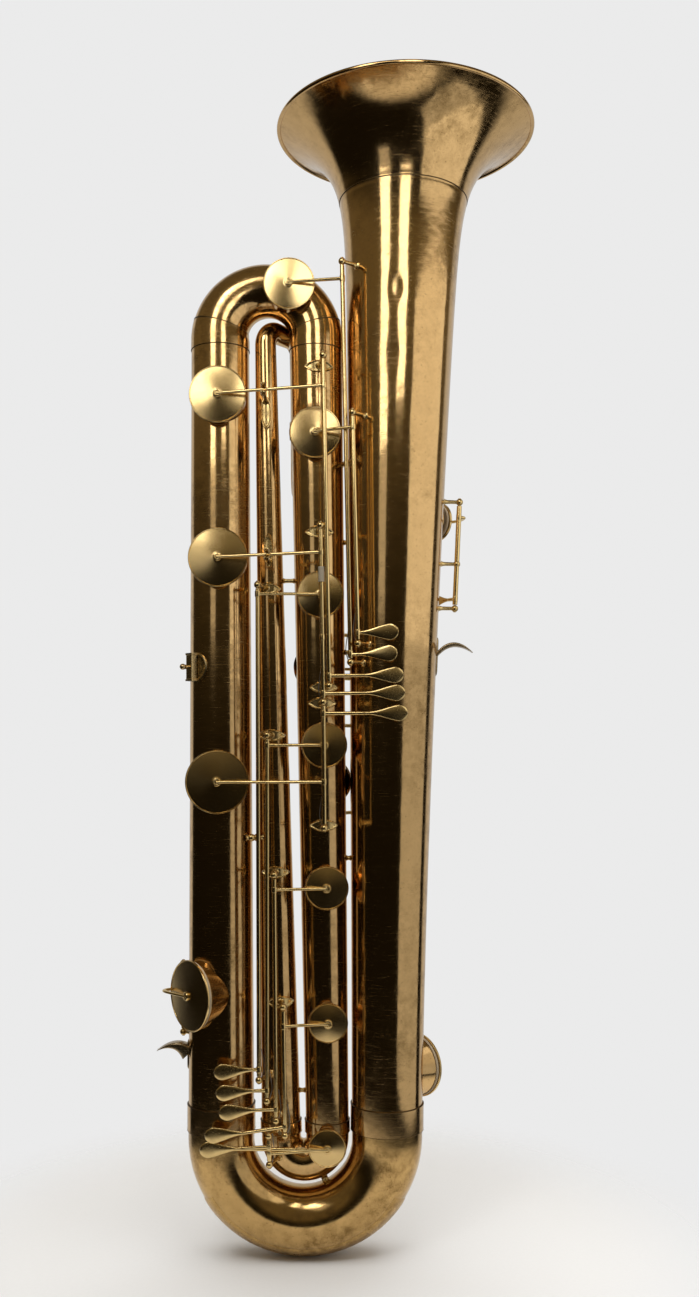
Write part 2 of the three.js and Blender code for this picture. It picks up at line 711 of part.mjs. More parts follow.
for (const key of frontKeys) {
  const seat = key.tube ? seatOn(key.tube, key) : topBowSeat(key);
  const footCarrier = key.footCarrier ?? key.carrier;
  const top = rodEnd(key.carrier, key.rodTopShare, key.rodTopOffsetShare, key.rodDepth);
  const foot = rodEnd(footCarrier, key.rodFootShare, key.rodFootOffsetShare, key.rodDepth);
  addChimney(key.owner, seat, 0, seat.cupRadius);
  if (key.name !== 'left_lower') addPost(key.carrierOwner, key.carrier, top, key.saddles);
  addPost(key.footOwner ?? key.carrierOwner, footCarrier, foot, key.saddles && key.carrier === middleTube);

  const lean = Math.atan2(top.x - foot.x, top.z - foot.z);
  const along = (z) => (z - foot.z) / Math.cos(lean);
  const sideways = (x, z) => x - foot.x - (z - foot.z) * Math.tan(lean);
  const cupY = -(seat.depth + gap + padThickness + gap) + key.rodDepth;
  const touchZ = heightAt(key.touchShare);
  addKey({
    name: key.name,
    foot,
    top,
    cup: new THREE.Vector3(sideways(seat.x, seat.z), cupY, along(seat.z)),
    cupRadius: seat.cupRadius,
    touch: {
      reach: touchLength * key.touchReachShare,
      y: key.rodDepth - key.touchDepth,
      z: along(touchZ),
      rootZ: key.touchRootShare ? along(heightAt(key.touchRootShare)) : undefined,
      length: touchLength,
      halfWidth: touchHalfWidth,
    },
    collars: (key.collarShares ?? []).map((share) => along(heightAt(share))),
  });
  if (key.guideSide) addGuide(seat, top, key.guideSide);
}

// A forked guide on the narrow tube that steadies a long arm, on a long foot plate
function addGuide(seat, rodTop, plateSide) {
  const axisX = narrowTube.axisX(seat.z);
  const share = (rodTop.x - axisX) / (rodTop.x - seat.x);
  const cupFace = seat.depth + 2 * gap + padThickness + cupRim + cupRise + bossHeight / 2;
  const armDepth = deepRodDepth + (cupFace - deepRodDepth) * share;
  const halfSlot = armRadius + guideSlotClearance;
  const pieces = [-1, 1].map((side) => {
    const centre = new THREE.Vector3(axisX, -armDepth + (guideForkBack - guideForkFront) / 2, seat.z);
    centre.z += side * (halfSlot + guideProngSheet / 2);
    return box(guideForkWidth, guideForkBack + guideForkFront, guideProngSheet, centre);
  });
  const blockDepth = guideForkBack - armRadius - guideSlotClearance;
  const blockCentre = new THREE.Vector3(axisX, -armDepth + guideForkBack - blockDepth / 2, seat.z);
  pieces.push(box(guideForkWidth, blockDepth, 2 * (halfSlot + guideProngSheet), blockCentre));
  const stemFoot = new THREE.Vector3(axisX, 0, seat.z);
  const stemTop = new THREE.Vector3(axisX, -armDepth + guideForkBack - wall / 2, seat.z);
  pieces.push(bar(stemFoot, stemTop, postFoot, postWaist, rodSides));
  const plateCentre = seat.z + plateSide * (guidePlateLength / 2 - guideForkWidth);
  const slab = box(guidePlateWidth, narrowFootRadius + overrun, guidePlateLength, new THREE.Vector3(axisX,
  0, plateCentre));
  const front = new THREE.Vector3(axisX, -(narrowFootRadius + overrun) / 2, plateCentre);
  const frontHalf = box(guidePlateWidth + overrun, narrowFootRadius + overrun, guidePlateLength + overrun,
  front);
  const skin = grownPiece(narrowTube, plateCentre, guidePlateLength, saddleSheet);
  pieces.push(slab.intersect(frontHalf).intersect(skin));
  fittings.narrow.push(...pieces);
}

// Side and back keys. Each cup faces its own way, and its rod runs beside the cup
const armKneeShare = 0.6;
function addSideKey(key) {
  const seatZ = heightAt(key.cupShare);
  const cupRadius = key.tube.radius(seatZ) * key.cupSizeShare;
  const [slide, rodClear] = [cupRadius * key.cupSlideShare, cupRadius * key.rodClearShare];
  const [rodSink, rodLean] = [cupRadius * key.rodSinkShare, cupRadius * key.rodLeanShare];
  const outward = new THREE.Vector3(Math.sin(key.facing), -Math.cos(key.facing), 0);
  const along = new THREE.Vector3(Math.cos(key.facing), Math.sin(key.facing), 0);
  const rim = new THREE.Vector3(key.tube.axisX(seatZ), 0, seatZ);
  rim.addScaledVector(outward, key.tube.radius(seatZ) + key.rimStandOff).addScaledVector(along, slide);
  addFunnel(key.owner, rim, outward, cupRadius - chimneyInset, key.funnelTaper, key.funnelLength);

  const cupBase = rim.clone().addScaledVector(outward, 2 * gap + padThickness);
  const rodLine = cupBase.clone().addScaledVector(along, key.rodSide * (cupRadius + rodClear));
  rodLine.addScaledVector(outward, -rodSink);
  const top = rodLine.clone().setZ(heightAt(key.rodTopShare));
  const foot = rodLine.clone().setZ(heightAt(key.rodFootShare));
  top.x += rodLean / 2;
  foot.x -= rodLean / 2;
  addPost(key.owner, key.tube, top);
  addPost(key.owner, key.tube, foot);
  for (const share of key.midPostShares ?? []) {
    const place = foot.clone().lerp(top, (heightAt(share) - foot.z) / (top.z - foot.z));
    const half = top.clone().sub(foot).setLength(2 * ballRadius);
    const clearRadius = clearBoreRadius(rodRadius);
    addPost(key.owner, key.tube, place);
    bores[key.owner].push(bar(place.clone().sub(half), place.clone().add(half), clearRadius, clearRadius,
    rodSides));
  }
  const cup = new THREE.Vector3(-key.rodSide * (cupRadius + rodClear), -rodSink, seatZ - foot.z);
  const over = cupRim + cupRise + 2 * armRadius;
  const armPoints = rodSink > 0 && [
    new THREE.Vector3(0, 0, cup.z),
    new THREE.Vector3(key.rodSide * armRadius, cup.y / 2, cup.z),
    new THREE.Vector3(-key.rodSide * armRadius, cup.y - over * armKneeShare, cup.z),
    new THREE.Vector3(-key.rodSide * (rodClear + armRadius), cup.y - over, cup.z),
  ];
  addKey({
    name: key.name,
    foot,
    top,
    facing: key.facing,
    opened: key.opened ?? 0,
    cup,
    cupRadius,
    armPoints,
    touch: {
      reach: thumbTouchLength * key.touchReachShare,
      y: thumbTouchLength * key.touchSinkShare,
      z: heightAt(key.touchShare) - foot.z,
      length: thumbTouchLength,
      halfWidth: thumbTouchHalfWidth,
    },
  });
}

const sideKeys = [
  {
    name: 'left_side', owner: 'left', tube: leftTube,
    facing: THREE.MathUtils.degToRad(-51), cupSizeShare: 1.08141, cupShare: 0.1843, cupSlideShare: 0.184,
    rimStandOff: chimneyHeight, funnelTaper: 0.33, funnelLength: longFunnelLength,
    rodSide: -1, rodClearShare: 0.153, rodSinkShare: 0.458, rodTopShare: 0.2151, rodFootShare: 0.128,
    rodLeanShare: 0,
    touchShare: 0.142, touchReachShare: -1.52, touchSinkShare: 0.56,
  },
  {
    name: 'bell_low', owner: 'bell', tube: bellTube,
    facing: THREE.MathUtils.degToRad(135), cupSizeShare: 0.91458, cupShare: 0.0801, cupSlideShare: 0,
    rimStandOff: bellRimStandOff, funnelTaper: 0.3, funnelLength,
    rodSide: 1, rodClearShare: 0.21622, rodSinkShare: -0.16216, rodTopShare: 0.562, rodFootShare: 0.069,
    rodLeanShare: 0,
    midPostShares: [0.3755],
    touchShare: 0.5505, touchReachShare: 1.28, touchSinkShare: -0.16,
  },
  {
    name: 'back_lower', owner: 'middle', tube: middleTube,
    facing: Math.PI, cupSizeShare: 1.04331, cupShare: 0.4452, cupSlideShare: -0.19643,
    rimStandOff: chimneyHeight, funnelTaper: 0, funnelLength,
    rodSide: -1, rodClearShare: 0.28571, rodSinkShare: -0.71429, rodTopShare: 0.517, rodFootShare: 0.4045,
    rodLeanShare: 0,
    touchShare: 0.506, touchReachShare: -1.12, touchSinkShare: -0.16,
  },
  {
    name: 'back_upper', owner: 'middle', tube: middleTube,
    facing: Math.PI, cupSizeShare: 0.93969, cupShare: 0.591, cupSlideShare: 0.23077,
    rimStandOff: chimneyHeight, funnelTaper: 0, funnelLength,
    rodSide: -1, rodClearShare: 0.84615, rodSinkShare: -0.76923, rodTopShare: 0.634, rodFootShare: 0.578,
    rodLeanShare: 0,
    touchShare: 0.622, touchReachShare: -1.52, touchSinkShare: -0.16,
  },
  {
    name: 'bell_high', owner: 'bell', tube: bellTube,
    facing: THREE.MathUtils.degToRad(135), cupSizeShare: 0.40833, cupShare: 0.781, cupSlideShare: 0,
    rimStandOff: bellRimStandOff, funnelTaper: 0, funnelLength,
    rodSide: -1, rodClearShare: 0.93636, rodSinkShare: 0.24545, rodTopShare: 0.7998, rodFootShare: 0.665,
    rodLeanShare: 0.25,
    midPostShares: [0.7213],
    opened: THREE.MathUtils.degToRad(-8),
    touchShare: 0.6775, touchReachShare: 1.68, touchSinkShare: -0.04,
  },
];

for (const key of sideKeys) addSideKey(key);

// Tubes and bows
function tubeWith(name, outer, bore) {
  return join([outer, ...fittings[name]]).subtract(join([bore, ...bores[name]]));
}

function sleeve(stationsAt, sides, sheet) {
  return sweep(stationsAt(gap + sheet), sides).subtract(sweep(stationsAt(gap, overrun), sides));
}

function ferrule(tube, sides) {
  const [lowZ, highZ] = [lowerJoint - ferruleLength / 2, lowerJoint + ferruleLength / 2];
  const flatRise = sides === tubeSides ? 0 : tube.radius(lowerJoint) * (1 / Math.cos(Math.PI / sides) - 1);
  const stationsAt = (grow, extra = 0) => straightStations(tube, lowZ - extra, highZ + extra, 1,
  grow + flatRise);
  return sleeve(stationsAt, sides, ferruleSheet);
}

function beadStations() {
  const turnShares = [0, 1 / 6, 1 / 3, 1 / 2];
  return turnShares.map((share) => {
    const angle = Math.PI * share;
    const z = rimHeight + rimBeadRadius * Math.sin(angle);
    const centre = new THREE.Vector3(bellTube.axisX(z), 0, z);
    const radius = bellTube.radius(rimHeight) + rimBeadRadius * Math.cos(angle);
    return { centre, across: xAxis, depth: yAxis, radius };
  });
}

const bellOuter = sweep([...bellStations(bellLow, rimHeight, 0), ...beadStations()], wideSides);
const bellBoreStations = bellStations(bellLow, rimHeight, -wall);
const bellMouth = bellBoreStations.at(-1);
const bellBore = sweep(
  [
    { ...bellBoreStations[0], centre: bellBoreStations[0].centre.clone().setZ(bellLow - overrun) },
    ...bellBoreStations,
    { ...bellMouth, centre: bellMouth.centre.clone().setZ(overallHeight + overrun) },
  ],
  wideSides,
);
addPart('bell', tubeWith('bell', bellOuter, bellBore), tubeBrass);
addPart('bell_ferrule', ferrule(bellTube, wideSides), fittingBrass);

const bowMiddle = new THREE.Vector3(0, 0, springLow);
function bigBowStations(count, grow, legTop) {
  const turn = bendStations({
    middle: bowMiddle, bend: bowSpan / 2, from: Math.PI, to: 2 * Math.PI, count, radiusAt: bowRadiusAt, grow,
  });
  const [leftLeg] = straightStations(leftTube, legTop, springLow, 1, grow, xAxis.clone().negate());
  const rightLeg = straightStations(bellTube, springLow, legTop, 1, grow).at(-1);
  return [leftLeg, ...turn, rightLeg];
}
const bigBow = sweep(bigBowStations(bowRings, 0, lowerJoint), tubeSides);
const bigBowBore = sweep(bigBowStations(bowRings, -wall, lowerJoint + overrun), tubeSides);
addPart('bottom_bow', tubeWith('bow', bigBow, bigBowBore), tubeBrass);
addPart('left_ferrule', ferrule(leftTube, tubeSides), fittingBrass);

// The guard: a strip of sheet bent round the outside of the big bow's turn, on the bow's own rings and sides
function guardPatch() {
  const turns = bendStations({
    middle: bowMiddle, bend: bowSpan / 2, from: Math.PI, to: 2 * Math.PI, count: bowRings,
    radiusAt: bowRadiusAt,
  }).slice(guardSkippedRings, bowRings + 1 - guardSkippedRings);
  const wraps = steps(2 * guardSideSteps).map((share) => guardSideSteps * (2 * share - 1));
  const points = [];
  for (const grow of [gap, gap + guardSheet]) {
    for (const { centre, across, depth, radius } of turns) {
      for (const sideStep of wraps) {
        const angle = (2 * Math.PI * sideStep) / tubeSides;
        const point = centre.clone().addScaledVector(across, (radius + grow) * Math.cos(angle));
        points.push(point.addScaledVector(depth, (radius + grow) * Math.sin(angle)));
      }
    }
  }
  const [rows, columns] = [turns.length, wraps.length];
  const at = (layer, row, column) => (layer * rows + row) * columns + column;
  const faces = [];
  const quad = (a, b, c, d) => faces.push([a, b, c], [a, c, d]);
  for (let row = 0; row + 1 < rows; row++) {
    for (let column = 0; column + 1 < columns; column++) {
      quad(at(1, row, column), at(1, row + 1, column), at(1, row + 1, column + 1), at(1, row, column + 1));
      quad(at(0, row, column), at(0, row, column + 1), at(0, row + 1, column + 1), at(0, row + 1, column));
    }
    for (const [column, flip] of [[0, false], [columns - 1, true]]) {
      const ring = [at(0, row, column), at(0, row + 1, column), at(1, row + 1, column), at(1, row, column)];
      quad(...(flip ? ring.reverse() : ring));
    }
  }
  for (let column = 0; column + 1 < columns; column++) {
    for (const [row, flip] of [[0, true], [rows - 1, false]]) {
      const ring = [at(0, row, column), at(0, row, column + 1), at(1, row, column + 1), at(1, row, column)];
      quad(...(flip ? ring.reverse() : ring));
    }
  }
  return solid(new THREE.BufferGeometry().setFromPoints(points).setIndex(faces.flat()));
}
addPart('bow_guard', guardPatch(), fittingBrass);

const leftLow = lowerJoint + gap;
const leftHigh = springHigh - gap;
const leftOuter = straightSolid(leftTube, leftLow, leftHigh, 1, 0, tubeSides);
const leftBore = straightSolid(leftTube, leftLow - overrun, leftHigh + overrun, 1, -wall, tubeSides);
addPart('left_tube', tubeWith('left', leftOuter, leftBore), tubeBrass);

const topBowRings = 12;
const down = zAxis.clone().negate();
function topBowStations(grow, firstRing = 0, lastRing = topBowRings) {
  return bendStations({
    middle: topBowMiddle, bend: topBowSpan / 2, from: Math.PI, to: 0, count: topBowRings,
    radiusAt: topBowRadiusAt, liftAt: topBowPinchAt, grow,
  }).slice(firstRing, lastRing + 1);
}
const topBowOuter = sweep(topBowStations(0), tubeSides);
const topBowBore = sweep(extendEnds(topBowStations(-wall), overrun, down, down), tubeSides);
addPart('top_bow', tubeWith('topBow', topBowOuter, topBowBore), tubeBrass);

// Each sleeve of the top bow covers the bow's first ring step and a short straight stretch below it
const topSleeveStraight = 12;
function topFerrule(onLeft) {
  const turn = Math.PI / topBowRings;
  const along = new THREE.Vector3((onLeft ? 1 : -1) * Math.sin(turn), 0, Math.cos(turn));
  const stationsAt = (grow, extra = 0) => {
    const rings = onLeft ? topBowStations(grow, 0, 1) : topBowStations(grow, topBowRings - 1).reverse();
    const leg = { ...rings[0], centre: rings[0].centre.clone().addScaledVector(down, topSleeveStraight) };
    const stations = [leg, ...rings];
    return extendEnds(stations, extra, down, along);
  };
  return sleeve(stationsAt, tubeSides, ferruleSheet);
}
addPart('top_left_ferrule', topFerrule(true), fittingBrass);
addPart('top_middle_ferrule', topFerrule(false), fittingBrass);

const middleOuter = straightSolid(middleTube, smallJoint + gap, springHigh - gap, 1, 0, tubeSides);
const middleBore = straightSolid(middleTube, smallJoint - overrun, springHigh + overrun, 1, -wall, tubeSides);
addPart('middle_tube', tubeWith('middle', middleOuter, middleBore), tubeBrass);

// The small bow has a wider socket on each leg, which takes the end of a tube
const smallBowMiddle = new THREE.Vector3((middleFootX + narrowFootX) / 2, 0, springLow);
const socketTop = smallJoint + socketDepth;
function smallBowRadiusAt(share) {
  return middleFootRadius + (narrowFootRadius - middleFootRadius) * share;
}
function smallBowStations(count, grow, legTop) {
  const turn = bendStations({
    middle: smallBowMiddle, bend: smallBowSpan / 2, from: 0, to: -Math.PI, count,
    radiusAt: smallBowRadiusAt, grow,
  });
  const rightLeg = straightStations(middleTube, legTop, springLow, 1, grow)[0];
  const leftLeg = straightStations(narrowTube, springLow, legTop, 1, grow, xAxis.clone().negate()).at(-1);
  return [rightLeg, ...turn, leftLeg];
}
const socketSkins = [middleTube, narrowTube].map((tube) =>
  straightSolid(tube, smallJoint - wall, socketTop, 1, gap + wall, tubeSides));
const socketBores = [middleTube, narrowTube].map((tube) =>
  straightSolid(tube, smallJoint, socketTop + overrun, 1, gap, tubeSides));
const smallBowOuter = join([sweep(smallBowStations(8, 0, smallJoint), tubeSides), ...socketSkins]);
const smallBowBore = join([sweep(smallBowStations(8, -wall, smallJoint + overrun), tubeSides),
...socketBores]);
addPart('small_bow', tubeWith('smallBow', smallBowOuter, smallBowBore), tubeBrass);

const narrowOuter = straightSolid(narrowTube, smallJoint + gap, topBendStart - gap, 1, 0, tubeSides);
const narrowBore = straightSolid(narrowTube, smallJoint - overrun, topBendStart + overrun, 1, -wall,
tubeSides);
addPart('narrow_tube', tubeWith('narrow', narrowOuter, narrowBore), tubeBrass);

// The narrow end: over the top bend, down behind the middle tube, and up again into the crook receiver
const bendLevel = new THREE.Vector3(Math.cos(topBendHeading), Math.sin(topBendHeading), 0);
const narrowTopCentre = new THREE.Vector3(narrowTube.axisX(topBendStart), 0, topBendStart);
const topBendTurns = [topBendRadius, topBendSpan - topBendRadius].map((along) =>
  narrowTopCentre.clone().addScaledVector(bendLevel, along));
const backTubeTop = narrowTopCentre.clone().addScaledVector(bendLevel, topBendSpan);
const topBendTurnShare = topBendRadius / topBendSpan;

function hollow(stationsAt, sides) {
  return sweep(stationsAt(0, 0), sides).subtract(sweep(stationsAt(-wall, overrun), sides));
}

// Two quarter turns, with a level stretch between them
function topBendStations(grow) {
  const radiusAt = (share) => narrowTopRadius + (backTopRadius - narrowTopRadius) * share;
  const turn = { bend: topBendRadius, heading: topBendHeading, count: 3, grow };
  const rise = bendStations({
    ...turn, middle: topBendTurns[0], from: Math.PI, to: quarterTurn,
    radiusAt: (share) => radiusAt(share * topBendTurnShare),
  });
  const fall = bendStations({
    ...turn, middle: topBendTurns[1], from: quarterTurn, to: 0,
    radiusAt: (share) => radiusAt(1 - (1 - share) * topBendTurnShare),
  });
  return [...rise, ...fall];
}
addPart('top_bend', hollow((grow, extra) => extendEnds(topBendStations(grow), extra, down, down),
  narrowSides), tubeBrass);

const backTubeFoot = backTubeTop.clone().addScaledVector(down, backTubeLength);
function uprightStations(top, foot, topRadius, footRadius) {
  return [
    { centre: top, across: xAxis, depth: yAxis, radius: topRadius },
    { centre: foot, across: xAxis, depth: yAxis, radius: footRadius },
  ];
}
addPart('back_tube', hollow((grow, extra) => extendEnds(uprightStations(
  backTubeTop.clone().addScaledVector(down, gap), backTubeFoot, backTopRadius + grow, backFootRadius + grow,
), extra, zAxis, down), narrowSides), tubeBrass);

const receiverBowMiddle = backTubeFoot.clone().addScaledVector(yAxis,
receiverBowSpan / 2).addScaledVector(down, gap);
addPart('receiver_bow', hollow((grow, extra) => extendEnds(bendStations({
  middle: receiverBowMiddle, bend: receiverBowSpan / 2, heading: quarterTurn, from: Math.PI, to: 2 * Math.PI,
  count: 6, radiusAt: () => backFootRadius, grow,
}), extra, zAxis, zAxis), narrowSides), tubeBrass);

const receiverFoot = backTubeFoot.clone().addScaledVector(yAxis, receiverBowSpan);
const receiverTop = receiverFoot.clone().addScaledVector(zAxis, receiverLength);
const collarFoot = receiverTop.clone().addScaledVector(down, receiverCollarLength);
const screwPlace = receiverTop.clone().addScaledVector(down, receiverCollarLength / 2);
const screwBossEnd = screwPlace.clone().addScaledVector(yAxis, receiverCollarRadius + screwBossLength);
const receiver = join([
  bar(receiverFoot, receiverTop, backFootRadius, receiverRadius, narrowSides),
  bar(collarFoot, receiverTop, receiverCollarRadius, receiverCollarRadius, narrowSides),
  bar(screwPlace, screwBossEnd, screwBossRadius, screwBossRadius, rodSides),
]);
const receiverBore = join([
  bar(receiverFoot.clone().addScaledVector(down, overrun), receiverTop.clone().addScaledVector(zAxis,
  overrun),
    crookBoreRadius, crookBoreRadius, narrowSides),
  bar(screwPlace, screwBossEnd.clone().addScaledVector(yAxis, overrun), clearBoreRadius(screwRadius),
    clearBoreRadius(screwRadius), rodSides),
]);
addPart('crook_receiver', receiver.subtract(receiverBore), fittingBrass);

// A wing screw that clamps the crook
const screwTip = screwPlace.clone().addScaledVector(yAxis, crookBoreRadius + gap);
const screwHeadFace = screwBossEnd.clone().addScaledVector(yAxis, gap);
const screwShankEnd = screwHeadFace.clone().addScaledVector(yAxis, wall);
const screwHead = box(screwHeadWidth, screwHeadHeight, screwHeadSheet,
  screwHeadFace.clone().addScaledVector(yAxis, screwHeadHeight / 2));
addPart('crook_screw', join([bar(screwTip, screwShankEnd, screwRadius, screwRadius, rodSides), screwHead]),
keyBrass);

// The lyre socket: a round foot plate bent round the tube, a square box and a ball-headed screw
const lyreZ = heightAt(lyreShare);
const lyreAxis = new THREE.Vector3(leftTube.axisX(lyreZ), 0, lyreZ);
const lyreOutward = new THREE.Vector3(Math.sin(lyreFacing), -Math.cos(lyreFacing), 0);
const lyreSkin = leftTube.radius(lyreZ);
const lyreFrame = fromFrame(lyreFacing, lyreAxis);
const lyreDisc = bar(lyreAxis, lyreAxis.clone().addScaledVector(lyreOutward, lyreSkin + overrun),
  lyrePlateRadius, lyrePlateRadius, discSides);
const lyreShell = grownPiece(leftTube, lyreZ, lyrePlateRadius + overrun, lyrePlateSheet + gap);
const lyreClear = grownPiece(leftTube, lyreZ, lyrePlateRadius + 2 * overrun, gap);
const lyreBoxFace = lyreSkin + lyreBoxDepth;
const lyreBox = moved(box(lyreBoxWidth, lyreBoxDepth, lyreBoxHeight,
  new THREE.Vector3(0, -lyreSkin - lyreBoxDepth / 2, 0)), lyreFrame);
const lyreSlotCentre = lyreBoxFace - lyreBoxDepth / 2 + wall / 2;
const lyreSlot = moved(box(lyreSlotWidth, lyreSlotDepth, lyreBoxHeight + overrun,
  new THREE.Vector3(0, -lyreSlotCentre, 0)), lyreFrame);
const lyreScrewHole = bar(lyreAxis.clone().addScaledVector(lyreOutward, lyreSlotCentre),
  lyreAxis.clone().addScaledVector(lyreOutward, lyreBoxFace + overrun), clearBoreRadius(lyreScrewRadius),
  clearBoreRadius(lyreScrewRadius), rodSides);
const lyreSocket = lyreDisc.intersect(lyreShell).add(lyreBox).subtract(lyreClear).subtract(lyreSlot)
  .subtract(lyreScrewHole);
addPart('lyre_socket', lyreSocket, fittingBrass);
const lyreScrewTip = lyreAxis.clone().addScaledVector(lyreOutward, lyreSlotCentre + lyreSlotDepth / 2);
const lyreNeckEnd = lyreAxis.clone().addScaledVector(lyreOutward, lyreBoxFace + lyreScrewNeck);
addPart('lyre_screw', join([
  bar(lyreScrewTip, lyreNeckEnd, lyreScrewRadius, lyreScrewRadius, rodSides),
  ball(lyreNeckEnd, lyreScrewBall),
]), keyBrass);

// A thumb rest: a crescent that springs from a foot plate, drawn with its root at the tube's skin.
// Its upper edge aims for the crown, and its lower edge for a point below that by the thickness
function thumbRest({ tube, share, side, reach, root, rootDrop, crown, tip, thickness, footHeight }) {
  const z = heightAt(share);
  const skin = tube.radius(z) + gap;
  const [start, end] = [side * skin, side * (skin + reach)];
  const crownX = side * (skin + reach * restCrownShare);
  const shape = new THREE.Shape();
  shape.moveTo(start, root - rootDrop);
  shape.quadraticCurveTo(crownX, crown, end, tip);
  shape.quadraticCurveTo(crownX, crown - thickness, start, -rootDrop);
  const blade = plate(shape, thumbRestWidth, 6);
  const foot = box(2 * (skin + thumbRestFootSheet), thumbRestFootWidth, footHeight, new THREE.Vector3(0, 0,
  0));
  const half = box(2 * (skin + overrun), thumbRestFootWidth, footHeight, new THREE.Vector3(start, 0, 0));
  const place = new THREE.Matrix4().makeTranslation(tube.axisX(z), 0, z);
  const whole = moved(blade.add(foot.intersect(half)), place);
  const clear = grownPiece(tube, z, footHeight, gap);
  const shell = grownPiece(tube, z, footHeight, gap + thumbRestFootSheet);
  const footOnly = moved(foot.intersect(half), place).intersect(shell);
  return whole.subtract(moved(foot, place)).add(footOnly).subtract(clear);
}
addPart('right_thumb_rest', thumbRest({
  tube: bellTube, share: rightRestShare, side: 1, reach: rightRestReach, root: rightRestRoot,
  rootDrop: rightRestRootDrop, crown: rightRestCrown, tip: rightRestTip, thickness: rightRestThickness,
  footHeight: rightRestFootHeight,
}), fittingBrass);
addPart('left_thumb_rest', thumbRest({
  tube: leftTube, share: leftRestShare, side: -1, reach: leftRestReach, root: leftRestRoot,
  rootDrop: leftRestRootDrop, crown: leftRestCrown, tip: leftRestTip, thickness: leftRestThickness,
  footHeight: leftRestFootHeight,
}), fittingBrass);

// Stays, cut to fit the tubes that they brace
function stay(from, to, z, tubes, ballShares = []) {
  const pieces = [bar(from, to, stayRadius, stayRadius, rodSides)];
  for (const share of ballShares) pieces.push(ball(from.clone().lerp(to, share), stayBallRadius));
  return join(pieces).subtract(join(tubes.map((tube) => grownPiece(tube, z, 4 * overrun, gap))));
}

const levelStays = [
  { name: 'stay_narrow_middle_upper', share: 0.6985, left: narrowTube, right: middleTube },
  { name: 'stay_narrow_middle_lower', share: 0.058, left: narrowTube, right: middleTube },
  { name: 'stay_middle_bell_upper', share: 0.7467, left: middleTube, right: bellTube },
  { name: 'stay_middle_bell_middle', share: 0.6085, left: middleTube, right: bellTube },
  { name: 'stay_middle_bell_lower', share: 0.35, left: middleTube, right: bellTube },
];
for (const { name, share, left, right } of levelStays) {
  const z = heightAt(share);
  const from = new THREE.Vector3(left.axisX(z), 0, z);
  const to = new THREE.Vector3(right.axisX(z), 0, z);
  addPart(name, stay(from, to, z, [left, right]), fittingBrass);
}

// Turned stays at the front: one between the left and narrow tubes, one between the middle tube and the bell
const frontStays = [
  {
    name: 'stay_left_narrow', share: 0.377, left: leftTube, right: narrowTube, leftTurnShare: 0.62,
    rightTurnShare: -0.5, ballShares: [0.4, 0.6],
  },
  {
    name: 'stay_middle_bell_front', share: 0.8425, left: middleTube, right: bellTube, leftTurnShare: 0.8,
    rightTurnShare: -0.55, ballShares: [0.3, 0.7],
  },
];
for (const { name, share, left, right, leftTurnShare, rightTurnShare, ballShares } of frontStays) {
  const z = heightAt(share);
  const onSkin = (tube, turnShare) => {
    const angle = quarterTurn * turnShare;
    const inset = tube.radius(z) - wall;
    return new THREE.Vector3(tube.axisX(z) + inset * Math.sin(angle), -inset * Math.cos(angle), z);
  };
  const [from, to] = [onSkin(left, leftTurnShare), onSkin(right, rightTurnShare)];
  addPart(name, stay(from, to, z, [left, right], ballShares), fittingBrass);
}

// A short stay that ties the two bows together, and one from the back tube to the middle tube
const bowStayLine = new THREE.Vector3(Math.cos(bowStayTurn), 0, Math.sin(bowStayTurn));
const bowStayFrom = smallBowMiddle.clone().addScaledVector(bowStayLine, smallBowSpan / 2);
const bowStayTo = bowMiddle.clone().addScaledVector(bowStayLine, bowSpan / 2);
const bowSkins = join([
  sweep(smallBowStations(8, gap, smallJoint), tubeSides),
  sweep(bigBowStations(bowRings, gap, lowerJoint), tubeSides),
]);
const bowStayBar = bar(bowStayFrom, bowStayTo, bowStayRadius, bowStayRadius, rodSides);
addPart('stay_bows', bowStayBar.subtract(bowSkins), fittingBrass);

const backStayZ = topBendStart - backStayDrop;
const backStayFrom = backTubeTop.clone().setZ(backStayZ);
const backStayTo = new THREE.Vector3(middleTube.axisX(backStayZ), 0, backStayZ);
const backStayBar = bar(backStayFrom, backStayTo, stayRadius, stayRadius, rodSides);
const backTubeSkin = bar(backTubeFoot, backTubeTop, backTopRadius + gap, backTopRadius + gap, narrowSides);
const backStayClear = join([backTubeSkin, grownPiece(middleTube, backStayZ, 2 * overrun, gap)]);
addPart('stay_back_middle', backStayBar.subtract(backStayClear), fittingBrass);

export default root;
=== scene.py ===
"""A brass reed contrabass, standing: its tubes, bell, posts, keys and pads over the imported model.

Lengths are written in millimetres and become metres when a mesh is made. The frame is the model's
own: Z up from the lowest point of the big bow, X to the viewer's right, the front keys facing -Y.
"""
import json
import math
from types import SimpleNamespace

